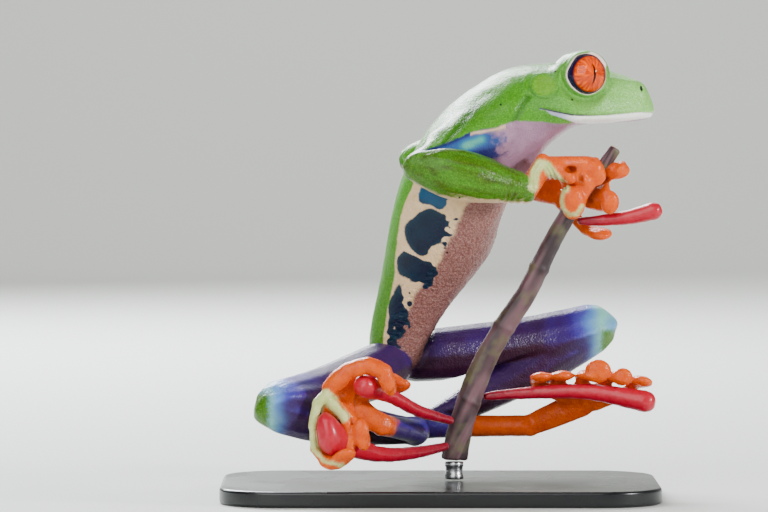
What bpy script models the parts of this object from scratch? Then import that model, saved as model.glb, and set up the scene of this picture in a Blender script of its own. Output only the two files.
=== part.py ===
"""Red-eyed tree frog, life size, clinging to a short cut length of flower stem on a plain stand.

Metres, +Z up. The frog looks along +X, its right side faces -Y, and the origin is the middle of the
stand's underside. Sizes below are in millimetres and become metres where points are made.
"""

import math

import bmesh
import bpy
from mathutils import Matrix, Vector

MM = 0.001
GAP = 0.3  # air between neighbouring solids
RIGHT, LEFT = "right", "left"

# Body: x, y, z of the widest level, lean of the back from upright, twist of the belly towards the
# right side, half width, height to the back, depth to the belly, squareness of the section.
HEAD_ROWS = (
    (34.25, 0.0, 63.4, 0, 0, 1.0, 0.7, 0.3, 2.0),
    (34.0, 0.0, 63.3, 0, 0, 2.3, 1.7, 0.6, 2.0),
    (33.2, 0.0, 63.2, 0, 0, 3.6, 3.4, 0.9, 2.1),
    (32.0, 0.0, 63.1, 0, 0, 4.8, 4.9, 1.2, 2.3),
    (29.8, 0.0, 63.1, 0, 0, 6.2, 6.0, 1.4, 2.4),
    (27.0, 0.0, 63.1, 0, 0, 7.9, 6.9, 1.5, 2.4),
    (24.0, 0.0, 63.1, 0, 0, 9.3, 7.6, 1.6, 2.5),
    (21.4, 0.0, 63.1, 2, 0, 10.1, 8.0, 2.1, 2.4),
    (18.9, 0.0, 63.2, 7, 0, 10.4, 8.1, 3.6, 2.2),
    (16.2, 0.0, 63.6, 14, 0, 9.8, 7.6, 5.6, 2.1),
)
TRUNK_ROWS = (
    (16.2, 0.0, 63.6, 14, 0, 9.8, 7.6, 5.6, 2.1),
    (13.1, 0.0, 62.6, 20, 0, 9.3, 8.1, 7.3, 2.1),
    (9.9, 0.0, 60.5, 27, 0, 9.2, 8.3, 8.1, 2.1),
    (6.8, 0.1, 57.6, 36, 1, 9.0, 8.7, 8.6, 2.1),
    (4.2, 0.5, 54.2, 47, 4, 8.9, 8.8, 8.7, 2.1),
    (2.2, 1.2, 50.3, 59, 10, 8.9, 8.8, 8.7, 2.1),
    (0.9, 2.4, 46.0, 70, 18, 9.0, 8.6, 8.5, 2.1),
    (-0.4, 3.8, 41.2, 80, 26, 8.5, 8.1, 8.0, 2.1),
    (-2.5, 5.2, 36.4, 84, 33, 7.4, 6.6, 6.7, 2.1),
    (-4.8, 6.4, 31.6, 87, 38, 6.3, 5.2, 5.4, 2.1),
    (-6.5, 7.3, 27.0, 88, 40, 5.6, 4.3, 4.5, 2.0),
    (-7.3, 7.8, 23.2, 88, 40, 4.6, 3.5, 3.8, 2.0),
    (-7.7, 8.1, 20.6, 88, 40, 2.6, 2.0, 2.2, 2.0),
    (-7.8, 8.2, 19.8, 88, 40, 1.2, 1.0, 1.0, 2.0),
)
JAW_FRONT, JAW_BACK, MOUTH_Z, CHIN_Z = 36.0, 17.2, 63.0, 52.0

EYE_X, EYE_SIDE, EYE_Z, EYE_RADIUS = 23.05, 6.5, 69.4, 3.3
ORBIT_CENTRE_X, ORBIT_SIDE, ORBIT_Z = 22.1, 5.6, 69.1
ORBIT_SIZE = (4.2, 3.8, 4.2)

# Joints of the skeleton.
SHOULDER = {RIGHT: (10.8, -6.2, 60.2), LEFT: (10.8, 6.2, 60.2)}
ELBOW = {RIGHT: (-3.3, -11.8, 55.2), LEFT: (-3.8, 12.0, 56.0)}
WRIST = {RIGHT: (14.0, -9.6, 51.2), LEFT: (14.2, 9.6, 51.3)}
KNUCKLE = {RIGHT: (16.4, -6.9, 55.2), LEFT: (19.0, 5.6, 50.6)}
HIP = {RIGHT: (-8.4, 4.4, 22.6), LEFT: (-4.2, 10.6, 23.6)}
KNEE = {RIGHT: (-24.9, -22.0, 17.6), LEFT: (25.0, 22.0, 27.4)}
HEEL = {RIGHT: (-3.6, 1.5, 12.0), LEFT: (-2.8, 11.0, 12.2)}
ANKLE = {RIGHT: (-9.3, -14.5, 14.2), LEFT: (14.6, 9.6, 12.4)}
TOE_ROOT = {RIGHT: (-17.2, -23.0, 19.5), LEFT: (23.4, 6.6, 16.4)}

# Radii along each length of limb, evenly spaced from its first joint to its last.
UPPER_ARM_RADII = (3.4, 3.1, 2.9, 2.7, 2.4)
FOREARM_RADII = (2.9, 3.7, 4.1, 3.8, 3.2, 2.6, 2.2)
THIGH_RADII = (4.2, 4.4, 4.4, 4.3, 4.3, 4.3)
SHANK_RADII = (4.3, 4.3, 3.9, 3.2, 2.6, 2.2)
TARSUS_RADII = (2.1, 1.9, 1.8, 1.8)
PALM_RADII = (2.1, 2.2, 2.0)
SOLE_RADII = (1.8, 2.0, 1.9)

DIGIT_THICK, DISC_WIDE, DISC_THICK, DISC_LONG = 1.08, 1.95, 0.95, 2.2
WEB_THICK = 0.7
VOXEL, GRASP_RATIO, LIMB_RATIO = 0.25, 0.035, 0.75

# Perch: x, y, z and radius along the stem, then along each flower tube that a hand or foot holds.
STEM_ROWS = (
    (2.3, 0.0, 7.6, 2.2),
    (2.4, 0.0, 8.4, 2.2),
    (3.0, 0.0, 11.6, 2.1),
    (4.3, 0.0, 16.0, 2.0),
    (6.7, 0.0, 22.5, 1.9),
    (10.0, 0.0, 28.5, 1.8),
    (14.0, 0.0, 34.5, 1.7),
    (17.4, 0.0, 41.5, 1.55),
    (20.8, 0.0, 47.5, 1.4),
    (24.4, 0.0, 52.7, 1.25),
    (28.2, 0.0, 57.6, 1.05),
)
TUBE_ROWS = {
    "near_upper": ((2.0, -3.1, 14.0, 0.8), (-3.5, -10.5, 16.1, 1.1), (-8.0, -17.5, 19.0, 1.3), (-11.9, -24.0, 20.9, 2.0)),
    "near_lower": ((1.2, -2.4, 10.0, 0.8), (-4.0, -9.2, 9.4, 1.1), (-10.4, -17.0, 9.8, 1.4), (-17.4, -26.0, 13.2, 2.4)),
    "far_lower": ((6.9, 1.9, 17.6, 0.8), (14.5, 2.2, 18.2, 1.1), (24.0, 1.6, 18.4, 1.4), (33.0, 0.6, 16.9, 1.9)),
    "far_upper": ((21.9, 1.7, 45.9, 0.7), (25.4, 2.0, 45.9, 1.0), (30.5, 1.6, 46.5, 1.3), (34.3, 1.0, 47.5, 1.6)),
}

# Digits, from the innermost to the outermost: what each holds, then the places it passes on its way
# to its disc, as the share of the way along what it holds and the turn round it from straight up
# (or, on the steep stem, from the frog's side of it, by way of the near side).
FINGERS = {
    RIGHT: (
        ("stem", (0.86, 350)),
        ("stem", (0.855, 40)),
        ("stem", (0.93, 50), (0.915, 82)),
        ("stem", (0.885, 80), (0.815, 92)),
    ),
    LEFT: (
        ("far_upper", (0.34, 200)),
        ("far_upper", (0.42, 350)),
        ("stem", (0.88, 255), (0.885, 205)),
        ("stem", (0.93, 240), (0.95, 188)),
    ),
}
TOES = {
    RIGHT: (
        ("near_upper", (0.55, 60), (0.55, 20)),
        ("near_upper", (0.68, 50), (0.70, 340)),
        ("near_upper", (0.88, 60), (0.88, 0), (0.88, 290)),
        ("near_lower", (0.86, 340), (0.86, 290)),
        ("near_lower", (0.93, 40), (0.93, 100), (0.93, 160), (0.93, 215)),
    ),
    LEFT: (
        ("far_lower", (0.38, 290), (0.40, 350)),
        ("far_lower", (0.50, 290), (0.52, 355)),
        ("far_lower", (0.62, 300), (0.66, 0)),
        ("far_lower", (0.74, 300), (0.80, 0)),
        ("far_lower", (0.86, 285), (0.93, 345)),
    ),
}

SINK = 1.6  # how much lower the frog and its perch stand than the heights above
BASE_LONG, BASE_DEEP, BASE_HIGH, BASE_CORNER, BASE_BEVEL = 70.0, 44.0, 2.6, 10.0, 0.5
ROD_RADIUS = 1.5


def finish(name, colour, roughness, metallic=0.0):
    """A Principled material of one sRGB colour."""
    material = bpy.data.materials.new(name)
    material.use_nodes = True
    shader = material.node_tree.nodes["Principled BSDF"]
    linear = [((int(colour[i : i + 2], 16) / 255 + 0.055) / 1.055) ** 2.4 for i in (0, 2, 4)]
    shader.inputs["Base Color"].default_value = (*linear, 1.0)
    shader.inputs["Roughness"].default_value = roughness
    shader.inputs["Metallic"].default_value = metallic
    return material


def smooth_rows(rows, steps):
    """The rows with steps - 1 more between each two, on a Catmull-Rom curve through them."""
    rows = [tuple(row) for row in rows]
    ends = [rows[0]] + rows + [rows[-1]]
    made = []
    for a, b, c, d in zip(ends, ends[1:], ends[2:], ends[3:]):
        for step in range(steps):
            t = step / steps
            made.append(
                tuple(
                    0.5 * (2 * q + (r - p) * t + (2 * p - 5 * q + 4 * r - s) * t**2 + (3 * q - p - 3 * r + s) * t**3)
                    for p, q, r, s in zip(a, b, c, d)
                )
            )
    return made + [rows[-1]]


def solid(name, rings, material=None):
    """One closed mesh through rings of points, with flat ends. With no material it is a hidden cutter or helper."""
    mesh = bmesh.new()
    loops = [[mesh.verts.new(Vector(point) * MM) for point in ring] for ring in rings]
    count = len(rings[0])
    for first, second in zip(loops, loops[1:]):
        for i in range(count):
            mesh.faces.new((first[i - 1], first[i], second[i], second[i - 1]))
    mesh.faces.new(loops[0])
    mesh.faces.new(reversed(loops[-1]))
    return keep(name, mesh, material)


def keep(name, mesh, material=None):
    """Makes the object of a bmesh, with its faces pointing out."""
    bmesh.ops.recalc_face_normals(mesh, faces=mesh.faces)
    bmesh.ops.triangulate(mesh, faces=mesh.faces)
    data = bpy.data.meshes.new(name)
    mesh.to_mesh(data)
    mesh.free()
    made = bpy.data.objects.new(name, data)
    bpy.context.scene.collection.objects.link(made)
    if material:
        data.materials.append(material)
        data.shade_smooth()
        data.set_sharp_from_angle(angle=math.radians(50))
    else:
        made.hide_render = True
        made.display_type = "WIRE"
    return made


def power(value, exponent):
    return math.copysign(abs(value) ** exponent, value)


def body_ring(row, sides, grow=0.0):
    """The points of one section through the head or trunk."""
    x, y, z, lean, twist, wide, high, low, square = row
    lean, twist = math.radians(lean), math.radians(twist)
    back = Vector((-math.sin(lean), 0, math.cos(lean)))
    right = Vector((0, -1, 0))
    back, right = back * math.cos(twist) - right * math.sin(twist), right * math.cos(twist) + back * math.sin(twist)
    ring = []
    for i in range(sides):
        angle = 2 * math.pi * i / sides
        tall = (high if math.cos(angle) > 0 else low) + grow
        across = power(math.sin(angle), 2 / square) * (wide + grow)
        up = power(math.cos(angle), 2 / square) * tall
        ring.append(Vector((x, y, z)) + right * across + back * up)
    return ring


def body_axis(row):
    lean = math.radians(row[3])
    return Vector((math.cos(lean), 0, math.sin(lean)))


def body(name, rows, material, sides=20, steps=2, start_gap=0.0, end_gap=0.0, grow=0.0):
    """A length of the body, drawn back from its first and last section by the gaps."""
    rows = smooth_rows(rows, steps)
    rings = [body_ring(row, sides, grow) for row in rows]
    rings[0] = [point - body_axis(rows[0]) * start_gap for point in rings[0]]
    rings[-1] = [point + body_axis(rows[-1]) * end_gap for point in rings[-1]]
    return solid(name, rings, material)


def round_ring(centre, along, across, wide, thick, sides):
    """An oval of points round centre, wide along across and thick along the third direction."""
    along = along.normalized()
    across = (across - along * across.dot(along)).normalized()
    third = along.cross(across)
    turn = 2 * math.pi / sides
    return [
        centre + across * wide * math.cos(i * turn) + third * thick * math.sin(i * turn) for i in range(sides)
    ]


def spare_across(along):
    """A direction across a limb that changes little as the limb bends."""
    return Vector((0, 0, 1)) if abs(along.normalized().z) < 0.8 else Vector((0, 1, 0))


def tube_rings(rows, sides, round_ends, grow=0.0):
    """Rings along rows of x, y, z and radius. round_ends says which of the two ends is a dome."""
    points = [Vector(row[:3]) for row in rows]
    radii = [row[3] + grow for row in rows]
    ahead = [(b - a).normalized() for a, b in zip(points, points[1:])]
    tangents = [ahead[0]] + [(a + b).normalized() for a, b in zip(ahead, ahead[1:])] + [ahead[-1]]
    across = spare_across(points[-1] - points[0])
    rings = [round_ring(p, t, across, r, r, sides) for p, t, r in zip(points, tangents, radii)]
    for end, sign in ((0, -1), (-1, 1)):
        if not round_ends[end]:
            continue
        dome = []
        for share in (0.5, 0.88):
            reach, radius = share * radii[end], radii[end] * math.sqrt(1 - share**2)
            dome.append(round_ring(points[end] + tangents[end] * sign * reach, tangents[end], across, radius, radius, sides))
        rings = dome[::-1] + rings if end == 0 else rings + dome
    return rings


def limb_rows(start, end, radii, bow=(0, 0, 0)):
    """Rows from one joint to the next. bow is how far the middle stands off the straight line."""
    start, end, bow = Vector(start), Vector(end), Vector(bow)
    last = len(radii) - 1
    rows = []
    for i, radius in enumerate(radii):
        share = i / last
        rows.append((*(start.lerp(end, share) + bow * 4 * share * (1 - share)), radius))
    return rows


def along_rows(rows, share):
    """The point, direction and radius at a share of the way along rows."""
    fine = smooth_rows(rows, 8)
    place = share * (len(fine) - 1)
    low = min(int(place), len(fine) - 2)
    a, b = Vector(fine[low][:3]), Vector(fine[low + 1][:3])
    return a.lerp(b, place - low), (b - a).normalized(), fine[low][3]


def trim(made, joint, towards, other, lean=(0, 0, 0)):
    """Cuts a limb on the plane that halves the bend at joint, turned by lean, so that it meets its neighbour there."""
    joint = Vector(joint)
    keep_side = ((Vector(towards) - joint).normalized() - (Vector(other) - joint).normalized()).normalized()
    keep_side = (keep_side + Vector(lean)).normalized()
    mesh = bmesh.new()
    mesh.from_mesh(made.data)
    cut = bmesh.ops.bisect_plane(
        mesh,
        geom=mesh.verts[:] + mesh.edges[:] + mesh.faces[:],
        plane_co=(joint + keep_side * GAP / 2) * MM,
        plane_no=-keep_side,
        clear_outer=True,
    )
    rim = [item for item in cut["geom_cut"] if isinstance(item, bmesh.types.BMEdge)]
    bmesh.ops.holes_fill(mesh, edges=rim)
    bmesh.ops.recalc_face_normals(mesh, faces=mesh.faces)
    bmesh.ops.triangulate(mesh, faces=mesh.faces)
    mesh.to_mesh(made.data)
    mesh.free()


def combine(made, other, operation):
    """Cuts other from made, joins it on, or keeps what both share."""
    modifier = made.modifiers.new(f"{operation.lower()}_{other.name}", "BOOLEAN")
    modifier.operation = operation
    modifier.solver = "EXACT"
    modifier.object = other


def fuse(made, helpers, ratio):
    """Makes one closed skin of overlapping shells: made takes in each helper's mesh, which is then removed."""
    mesh = bmesh.new()
    mesh.from_mesh(made.data)
    for helper in helpers:
        mesh.from_mesh(helper.data)
        bpy.data.objects.remove(helper)
    mesh.to_mesh(made.data)
    mesh.free()
    remesh = made.modifiers.new("one_skin", "REMESH")
    remesh.mode = "VOXEL"
    remesh.voxel_size = VOXEL * MM
    remesh.use_smooth_shade = True
    smooth = made.modifiers.new("soften", "SMOOTH")
    smooth.factor = 0.5
    smooth.iterations = 2
    lighten(made, ratio)


def lighten(made, ratio):
    """Keeps this share of the faces, where they matter most to the shape."""
    decimate = made.modifiers.new("fewer_faces", "DECIMATE")
    decimate.ratio = ratio


def ball(name, centre, size, material=None, segments=16, rings=9):
    mesh = bmesh.new()
    bmesh.ops.create_uvsphere(mesh, u_segments=segments, v_segments=rings, radius=1)
    bmesh.ops.scale(mesh, vec=Vector(size) * MM, verts=mesh.verts)
    bmesh.ops.translate(mesh, vec=Vector(centre) * MM, verts=mesh.verts)
    return keep(name, mesh, material)


def box(name, low, high, material=None):
    mesh = bmesh.new()
    low, high = Vector(low), Vector(high)
    bmesh.ops.create_cube(mesh, size=1)
    bmesh.ops.scale(mesh, vec=(high - low) * MM, verts=mesh.verts)
    bmesh.ops.translate(mesh, vec=(low + high) / 2 * MM, verts=mesh.verts)
    return keep(name, mesh, material)


def make_head(skin, eye):
    """Head with its two orbits and eye sockets, the lower jaw cut free along the mouth, and the eyes."""
    head = body("head", HEAD_ROWS, skin, sides=20, end_gap=GAP / 2)
    jaw = body("lower_jaw", HEAD_ROWS, skin, sides=20, end_gap=GAP / 2)
    for side, sign in ((RIGHT, -1), (LEFT, 1)):
        orbit = ball(f"orbit_{side}", (ORBIT_CENTRE_X, sign * ORBIT_SIDE, ORBIT_Z), ORBIT_SIZE)
        combine(head, orbit, "UNION")
        centre = (EYE_X, sign * EYE_SIDE, EYE_Z)
        socket = ball(f"socket_{side}", centre, (EYE_RADIUS + GAP,) * 3)
        combine(head, socket, "DIFFERENCE")
        ball(f"eye_{side}", centre, (EYE_RADIUS,) * 3, eye)
    reach = 14.0
    jaw_room = box("jaw_room", (JAW_BACK, -reach, CHIN_Z), (JAW_FRONT, reach, MOUTH_Z))
    jaw_block = box("jaw_block", (JAW_BACK + GAP, -reach, CHIN_Z), (JAW_FRONT, reach, MOUTH_Z - GAP))
    combine(head, jaw_room, "DIFFERENCE")
    combine(jaw, jaw_block, "INTERSECT")
    lighten(head, 0.6)
    lighten(jaw, 0.7)


def holds():
    """The rows of each thing that a hand or foot can hold."""
    return {"stem": STEM_ROWS, **TUBE_ROWS}


def beside(held, share, turn, off):
    """A point that stands off from what is held, at a share of its length and a turn round it, and the way out."""
    centre, along, radius = along_rows(holds()[held], share)
    upward = Vector((0, 0, 1)) if abs(along.z) < 0.7 else Vector((-1, 0, 0))
    upward = (upward - along * upward.dot(along)).normalized()
    outward = Matrix.Rotation(math.radians(turn), 3, along) @ upward
    return centre + outward * (radius + GAP + off), outward


def digit_line(root, held, places):
    """Rows of x, y, z, half width and half thickness along one finger or toe, each with its outward direction."""
    disc, outward = beside(held, *places[-1], DISC_THICK)
    passed = [beside(held, *place, DIGIT_THICK * 1.1) for place in places[:-1]]
    before = passed[-1][0] if passed else root
    heading = disc - before
    heading = (heading - outward * heading.dot(outward)).normalized()
    start_out = (passed[0][1] if passed else outward) * 0.5 + outward * 0.5
    if not passed:
        passed = [(root.lerp(disc, 0.45) + outward * 0.9, outward)]
    rows = [((*root, DIGIT_THICK * 1.15, DIGIT_THICK * 1.15), start_out)]
    rows += [((*point, DIGIT_THICK, DIGIT_THICK), out) for point, out in passed]
    for ahead, wide, thick, off in ((-1.1, 0.52, 0.95, 0.15), (-0.4, 0.9, 0.95, 0), (0, 1, 1, 0), (0.6, 0.86, 0.9, 0), (1, 0.4, 0.4, 0)):
        point = disc + heading * DISC_LONG * ahead + outward * off
        rows.append(((*point, DISC_WIDE * wide, DISC_THICK * thick), outward))
    return rows


def digit(name, rows, sides=8):
    """One finger or toe with its disc, as a helper that becomes part of its hand or foot."""
    fine = smooth_rows([(*row, *out) for row, out in rows[:-4]], 3)[:-1] + [(*row, *out) for row, out in rows[-4:]]
    points = [Vector(row[:3]) for row in fine]
    ahead = [(b - a).normalized() for a, b in zip(points, points[1:])]
    ahead.append(ahead[-1])
    rings = []
    for point, along, row in zip(points, ahead, fine):
        rings.append(round_ring(point, along, along.cross(Vector(row[5:])), row[3], row[4], sides))
    return solid(name, rings)


def web(name, first, second, reach, steps=4):
    """The web between two digits, as a thin sheet that is shorter in its middle."""
    curves = [smooth_rows([row[:3] for row, _ in rows[:3]], 8) for rows in (first, second)]
    last = len(curves[0]) - 1
    rings = []
    for step in range(steps + 1):
        share = reach * step / steps
        a, b = (Vector(curve[round(share * last)]) for curve in curves)
        inner = [Vector(curve[round(share * 0.72 * last)]) for curve in curves]
        middle = (inner[0] + inner[1]) / 2
        ahead = Vector(curves[0][round(share * last) + 1]) - Vector(curves[0][round(share * last)])
        lift = (b - a).cross(ahead).normalized() * WEB_THICK / 2
        rings.append([a + lift, middle + lift, b + lift, b - lift, middle - lift, a - lift])
    return solid(name, rings)


def make_grasp(name, before, start, root, radii, flat, digits, spread, webbed, skin):
    """A hand or foot: a flattened palm or sole, its digits, and the webs between them."""
    start, root, spread = Vector(start), Vector(root), Vector(spread).normalized()
    rows = smooth_rows(limb_rows(start, root, radii), 2)
    rings = [
        round_ring(Vector(row[:3]), root - start, spread, row[3] * (1 + 0.25 * i / len(rows)), row[3] * flat, 12)
        for i, row in enumerate(rows)
    ]
    ahead = (root - start).normalized()
    rings.insert(0, round_ring(start - ahead * 1.0, ahead, spread, radii[0] * 0.8, radii[0] * flat * 0.8, 12))
    rings.append(round_ring(root + ahead * 0.9, ahead, spread, radii[-1] * 1.0, radii[-1] * flat * 0.75, 12))
    made = solid(name, rings, skin)
    lines = []
    last = len(digits) - 1
    for i, (held, *places) in enumerate(digits):
        place = root + spread * radii[-1] * (1 - 2 * i / last) * 0.85
        lines.append(digit_line(place, held, places))
    helpers = [digit(f"{name}_digit_{i}", line) for i, line in enumerate(lines, 1)]
    for i, (first, second) in enumerate(zip(lines, lines[1:]), 1):
        helpers.append(web(f"{name}_web_{i}", first, second, webbed))
    trim(made, start, root, before)
    fuse(made, helpers, GRASP_RATIO)
    return made


def limb(name, start, end, radii, skin, bow=(0, 0, 0), sides=10):
    rows = smooth_rows(limb_rows(start, end, radii, bow), 2)
    return solid(name, tube_rings(rows, sides, (True, True)), skin)


def make_arm(side, skin, trunk_room):
    shoulder, elbow, wrist, knuckle = SHOULDER[side], ELBOW[side], WRIST[side], KNUCKLE[side]
    out = -1 if side == RIGHT else 1
    upper = limb(f"upper_arm_{side}", shoulder, elbow, UPPER_ARM_RADII, skin)
    fore = limb(f"forearm_{side}", elbow, wrist, FOREARM_RADII, skin, bow=(0, 1.4 * out, -0.2), sides=12)
    # The forearm lies outside the upper arm, so the cut between them turns outwards.
    trim(upper, elbow, shoulder, wrist, lean=(0, -0.8 * out, 0))
    trim(fore, elbow, wrist, shoulder, lean=(0, 0.8 * out, 0))
    trim(fore, wrist, elbow, knuckle)
    hand = make_grasp(f"hand_{side}", elbow, wrist, knuckle, PALM_RADII, 0.62, FINGERS[side], HAND_SPREAD[side], 0.42, skin)
    combine(upper, trunk_room, "DIFFERENCE")
    combine(fore, trunk_room, "DIFFERENCE")
    lighten(upper, LIMB_RATIO)
    lighten(fore, LIMB_RATIO)
    return [upper, fore, hand]


def make_leg(side, skin, trunk_room):
    hip, knee, heel, ankle, root = HIP[side], KNEE[side], HEEL[side], ANKLE[side], TOE_ROOT[side]
    thigh = limb(f"thigh_{side}", hip, knee, THIGH_RADII, skin, bow=(0, 0, -0.6), sides=12)
    shank = limb(f"shank_{side}", knee, heel, SHANK_RADII, skin, bow=(0, 0, -0.6))
    tarsus = limb(f"tarsus_{side}", heel, ankle, TARSUS_RADII, skin, sides=10)
    foot = make_grasp(f"foot_{side}", heel, ankle, root, SOLE_RADII, 0.55, TOES[side], FOOT_SPREAD[side], 0.6, skin)
    trim(thigh, knee, hip, heel)
    trim(shank, knee, heel, hip)
    trim(shank, heel, knee, ankle)
    trim(tarsus, heel, ankle, knee)
    trim(tarsus, ankle, heel, root)
    combine(thigh, trunk_room, "DIFFERENCE")
    lighten(thigh, LIMB_RATIO)
    lighten(shank, LIMB_RATIO)
    return [thigh, shank, tarsus, foot]


# The way each hand and foot is spread, from its inner digit to its outer one, pointing back.
HAND_SPREAD = {RIGHT: (0.35, 0.75, -0.1), LEFT: (0.2, -0.3, -0.9)}
FOOT_SPREAD = {RIGHT: (0.5, 0.5, 0.75), LEFT: (-0.9, 0.3, 0.2)}


def make_perch(stem_finish, tube_finish):
    """The cut stem and the flower tubes that the hands and feet hold, each with a cutter a little wider."""
    solid("perch_stem", tube_rings(smooth_rows(STEM_ROWS, 2), 10, (False, False)), stem_finish)
    rooms = [solid("stem_room", tube_rings(smooth_rows(STEM_ROWS, 2), 10, (False, False), grow=GAP))]
    for name, rows in TUBE_ROWS.items():
        solid(f"perch_tube_{name}", tube_rings(smooth_rows(rows, 3), 8, (False, True)), tube_finish)
        rooms.append(solid(f"{name}_room", tube_rings(smooth_rows(rows, 3), 8, (False, True), grow=GAP)))
    return rooms


def make_stand(base_finish, rod_finish):
    """A flat base with round corners, and one short rod up to the cut end of the stem."""
    corners = []
    steps = 6
    for quarter, (x, y) in enumerate(((1, 1), (-1, 1), (-1, -1), (1, -1))):
        centre = Vector((x * (BASE_LONG / 2 - BASE_CORNER), y * (BASE_DEEP / 2 - BASE_CORNER), 0))
        for step in range(steps + 1):
            angle = math.pi / 2 * (quarter + step / steps)
            corners.append((centre, Vector((math.cos(angle), math.sin(angle), 0))))
    levels = ((0, -BASE_BEVEL / 2), (BASE_BEVEL / 2, 0), (BASE_HIGH - BASE_BEVEL, 0), (BASE_HIGH, -BASE_BEVEL))
    rings = [
        [centre + out * (BASE_CORNER + inset) + Vector((0, 0, height)) for centre, out in corners]
        for height, inset in levels
    ]
    solid("stand_base", rings, base_finish)
    x, y, top = STEM_ROWS[0][:3]
    top -= SINK
    rows = ((x, y, BASE_HIGH + GAP, ROD_RADIUS), (x, y, top - GAP, ROD_RADIUS))
    solid("stand_rod", tube_rings(rows, 16, (False, False)), rod_finish)


def main():
    for old in list(bpy.data.objects):
        bpy.data.objects.remove(old)
    skin = finish("frog skin", "6FA53A", 0.4)
    eye = finish("wet eye", "E8501A", 0.08)
    woody = finish("woody stem", "4A3434", 0.7)
    petal = finish("flower tube", "C0182C", 0.35)
    acrylic = finish("black acrylic", "1C1C1E", 0.25)
    steel = finish("brushed steel", "B8B8BA", 0.3, 1.0)

    make_head(skin, eye)
    lighten(body("trunk", TRUNK_ROWS, skin, start_gap=GAP / 2), 0.8)
    trunk_room = body("trunk_room", TRUNK_ROWS, None, grow=GAP, start_gap=-1.0)
    rooms = make_perch(woody, petal)
    for side in (RIGHT, LEFT):
        for piece in make_arm(side, skin, trunk_room) + make_leg(side, skin, trunk_room):
            if piece.name.startswith(("hand", "foot")):
                for room in rooms:
                    combine(piece, room, "DIFFERENCE")
    for piece in bpy.data.objects:
        piece.data.transform(Matrix.Translation((0, 0, -SINK * MM)))
    make_stand(acrylic, steel)


main()
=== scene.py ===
"""Red-eyed tree frog, life size, on a cut stem and a plain stand: the looks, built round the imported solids."""

import math

import bpy
import numpy as np
import openvdb
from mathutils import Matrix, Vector


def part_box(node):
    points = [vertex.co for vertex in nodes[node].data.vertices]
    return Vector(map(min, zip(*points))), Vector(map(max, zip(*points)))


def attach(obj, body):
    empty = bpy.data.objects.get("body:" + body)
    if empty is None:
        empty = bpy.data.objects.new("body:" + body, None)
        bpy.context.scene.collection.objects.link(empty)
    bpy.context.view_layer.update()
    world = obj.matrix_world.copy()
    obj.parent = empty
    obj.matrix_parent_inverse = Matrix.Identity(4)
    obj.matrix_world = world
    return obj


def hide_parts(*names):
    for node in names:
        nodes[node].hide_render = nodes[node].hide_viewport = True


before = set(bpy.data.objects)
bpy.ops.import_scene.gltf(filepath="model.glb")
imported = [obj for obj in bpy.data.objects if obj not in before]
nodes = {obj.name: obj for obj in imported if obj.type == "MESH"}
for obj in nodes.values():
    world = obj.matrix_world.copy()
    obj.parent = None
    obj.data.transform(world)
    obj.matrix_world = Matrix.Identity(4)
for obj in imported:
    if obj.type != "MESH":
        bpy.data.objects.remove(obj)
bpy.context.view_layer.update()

MM = 0.001
PITCH = 0.18  # mm between the samples that the skin is drawn from
BAND = 2.4  # mm on each side of a surface that its distances reach
RIGHT, LEFT = "right", "left"
SIDES = {RIGHT: -1, LEFT: 1}

# Each part of a limb: what it grows from, and the mm of fillet at the joint.
JOINTS = {
    "upper_arm": ("trunk", 3.2), "forearm": ("upper_arm", 0.9), "hand": ("forearm", 1.2),
    "thigh": ("trunk", 2.4), "shank": ("thigh", 2.6), "tarsus": ("shank", 2.6), "foot": ("tarsus", 1.4),
}
TORSO = ["head", "lower_jaw", "trunk"]
FLESH = TORSO + [f"{limb}_{side}" for side in SIDES for limb in JOINTS]
TUBES = [name for name in nodes if name.startswith("perch_tube")]


# ---------------------------------------------------------------- distances

def solid_of(name):
    """A solid's points in millimetres and its triangles."""
    data = nodes[name].data
    data.calc_loop_triangles()
    points = np.empty(len(data.vertices) * 3, np.float32)
    data.vertices.foreach_get("co", points)
    faces = np.empty(len(data.loop_triangles) * 3, np.int32)
    data.loop_triangles.foreach_get("vertices", faces)
    return points.reshape(-1, 3) / MM, faces.reshape(-1, 3).astype(np.uint32)


SOLIDS = {name: solid_of(name) for name in FLESH + ["perch_stem"] + TUBES}
LOW = np.min([points.min(0) for points, _ in SOLIDS.values()], axis=0) - BAND
HIGH = np.max([points.max(0) for points, _ in SOLIDS.values()], axis=0) + BAND
CELLS = np.ceil((HIGH - LOW) / PITCH).astype(int)


def length(steps):
    """The length of a step given one axis at a time."""
    return np.sqrt(sum(step ** 2 for step in steps))


class Block:
    """A box of grid cells round some places, and where its samples lie, in millimetres."""

    def __init__(self, places, margin=BAND):
        low, high = np.min(places, axis=0) - margin, np.max(places, axis=0) + margin
        self.first = np.maximum(np.floor((low - LOW) / PITCH).astype(int), 0)
        last = np.minimum(np.ceil((high - LOW) / PITCH).astype(int), CELLS)
        self.cut = tuple(slice(a, b) for a, b in zip(self.first, last))
        self.shape = tuple(int(size) for size in last - self.first)
        x, y, z = (
            np.arange(a, b, dtype=np.float32) * PITCH + start for a, b, start in zip(self.first, last, LOW)
        )
        self.x, self.y, self.z = x[:, None, None], y[None, :, None], z[None, None, :]

    def off(self, place):
        """How far each sample is from a place along each axis."""
        return [axis - at for axis, at in zip((self.x, self.y, self.z), place)]

    def corner(self):
        return tuple(int(i) for i in self.first)


def distances(cells, faces, block):
    """Signed distance from a closed mesh, given in grid cells, at each sample of a block, negative inside."""
    width = BAND / PITCH
    grid = openvdb.FloatGrid.createLevelSetFromPolygons(
        points=cells.astype(np.float32), triangles=faces, exBandWidth=width, inBandWidth=width
    )
    field = np.empty(block.shape, np.float32)
    grid.copyToArray(field, ijk=block.corner())
    return field * PITCH


def from_solid(name, block):
    """Signed distance from one of the solids."""
    points, faces = SOLIDS[name]
    return distances((points - LOW) / PITCH, faces, block)


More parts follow.
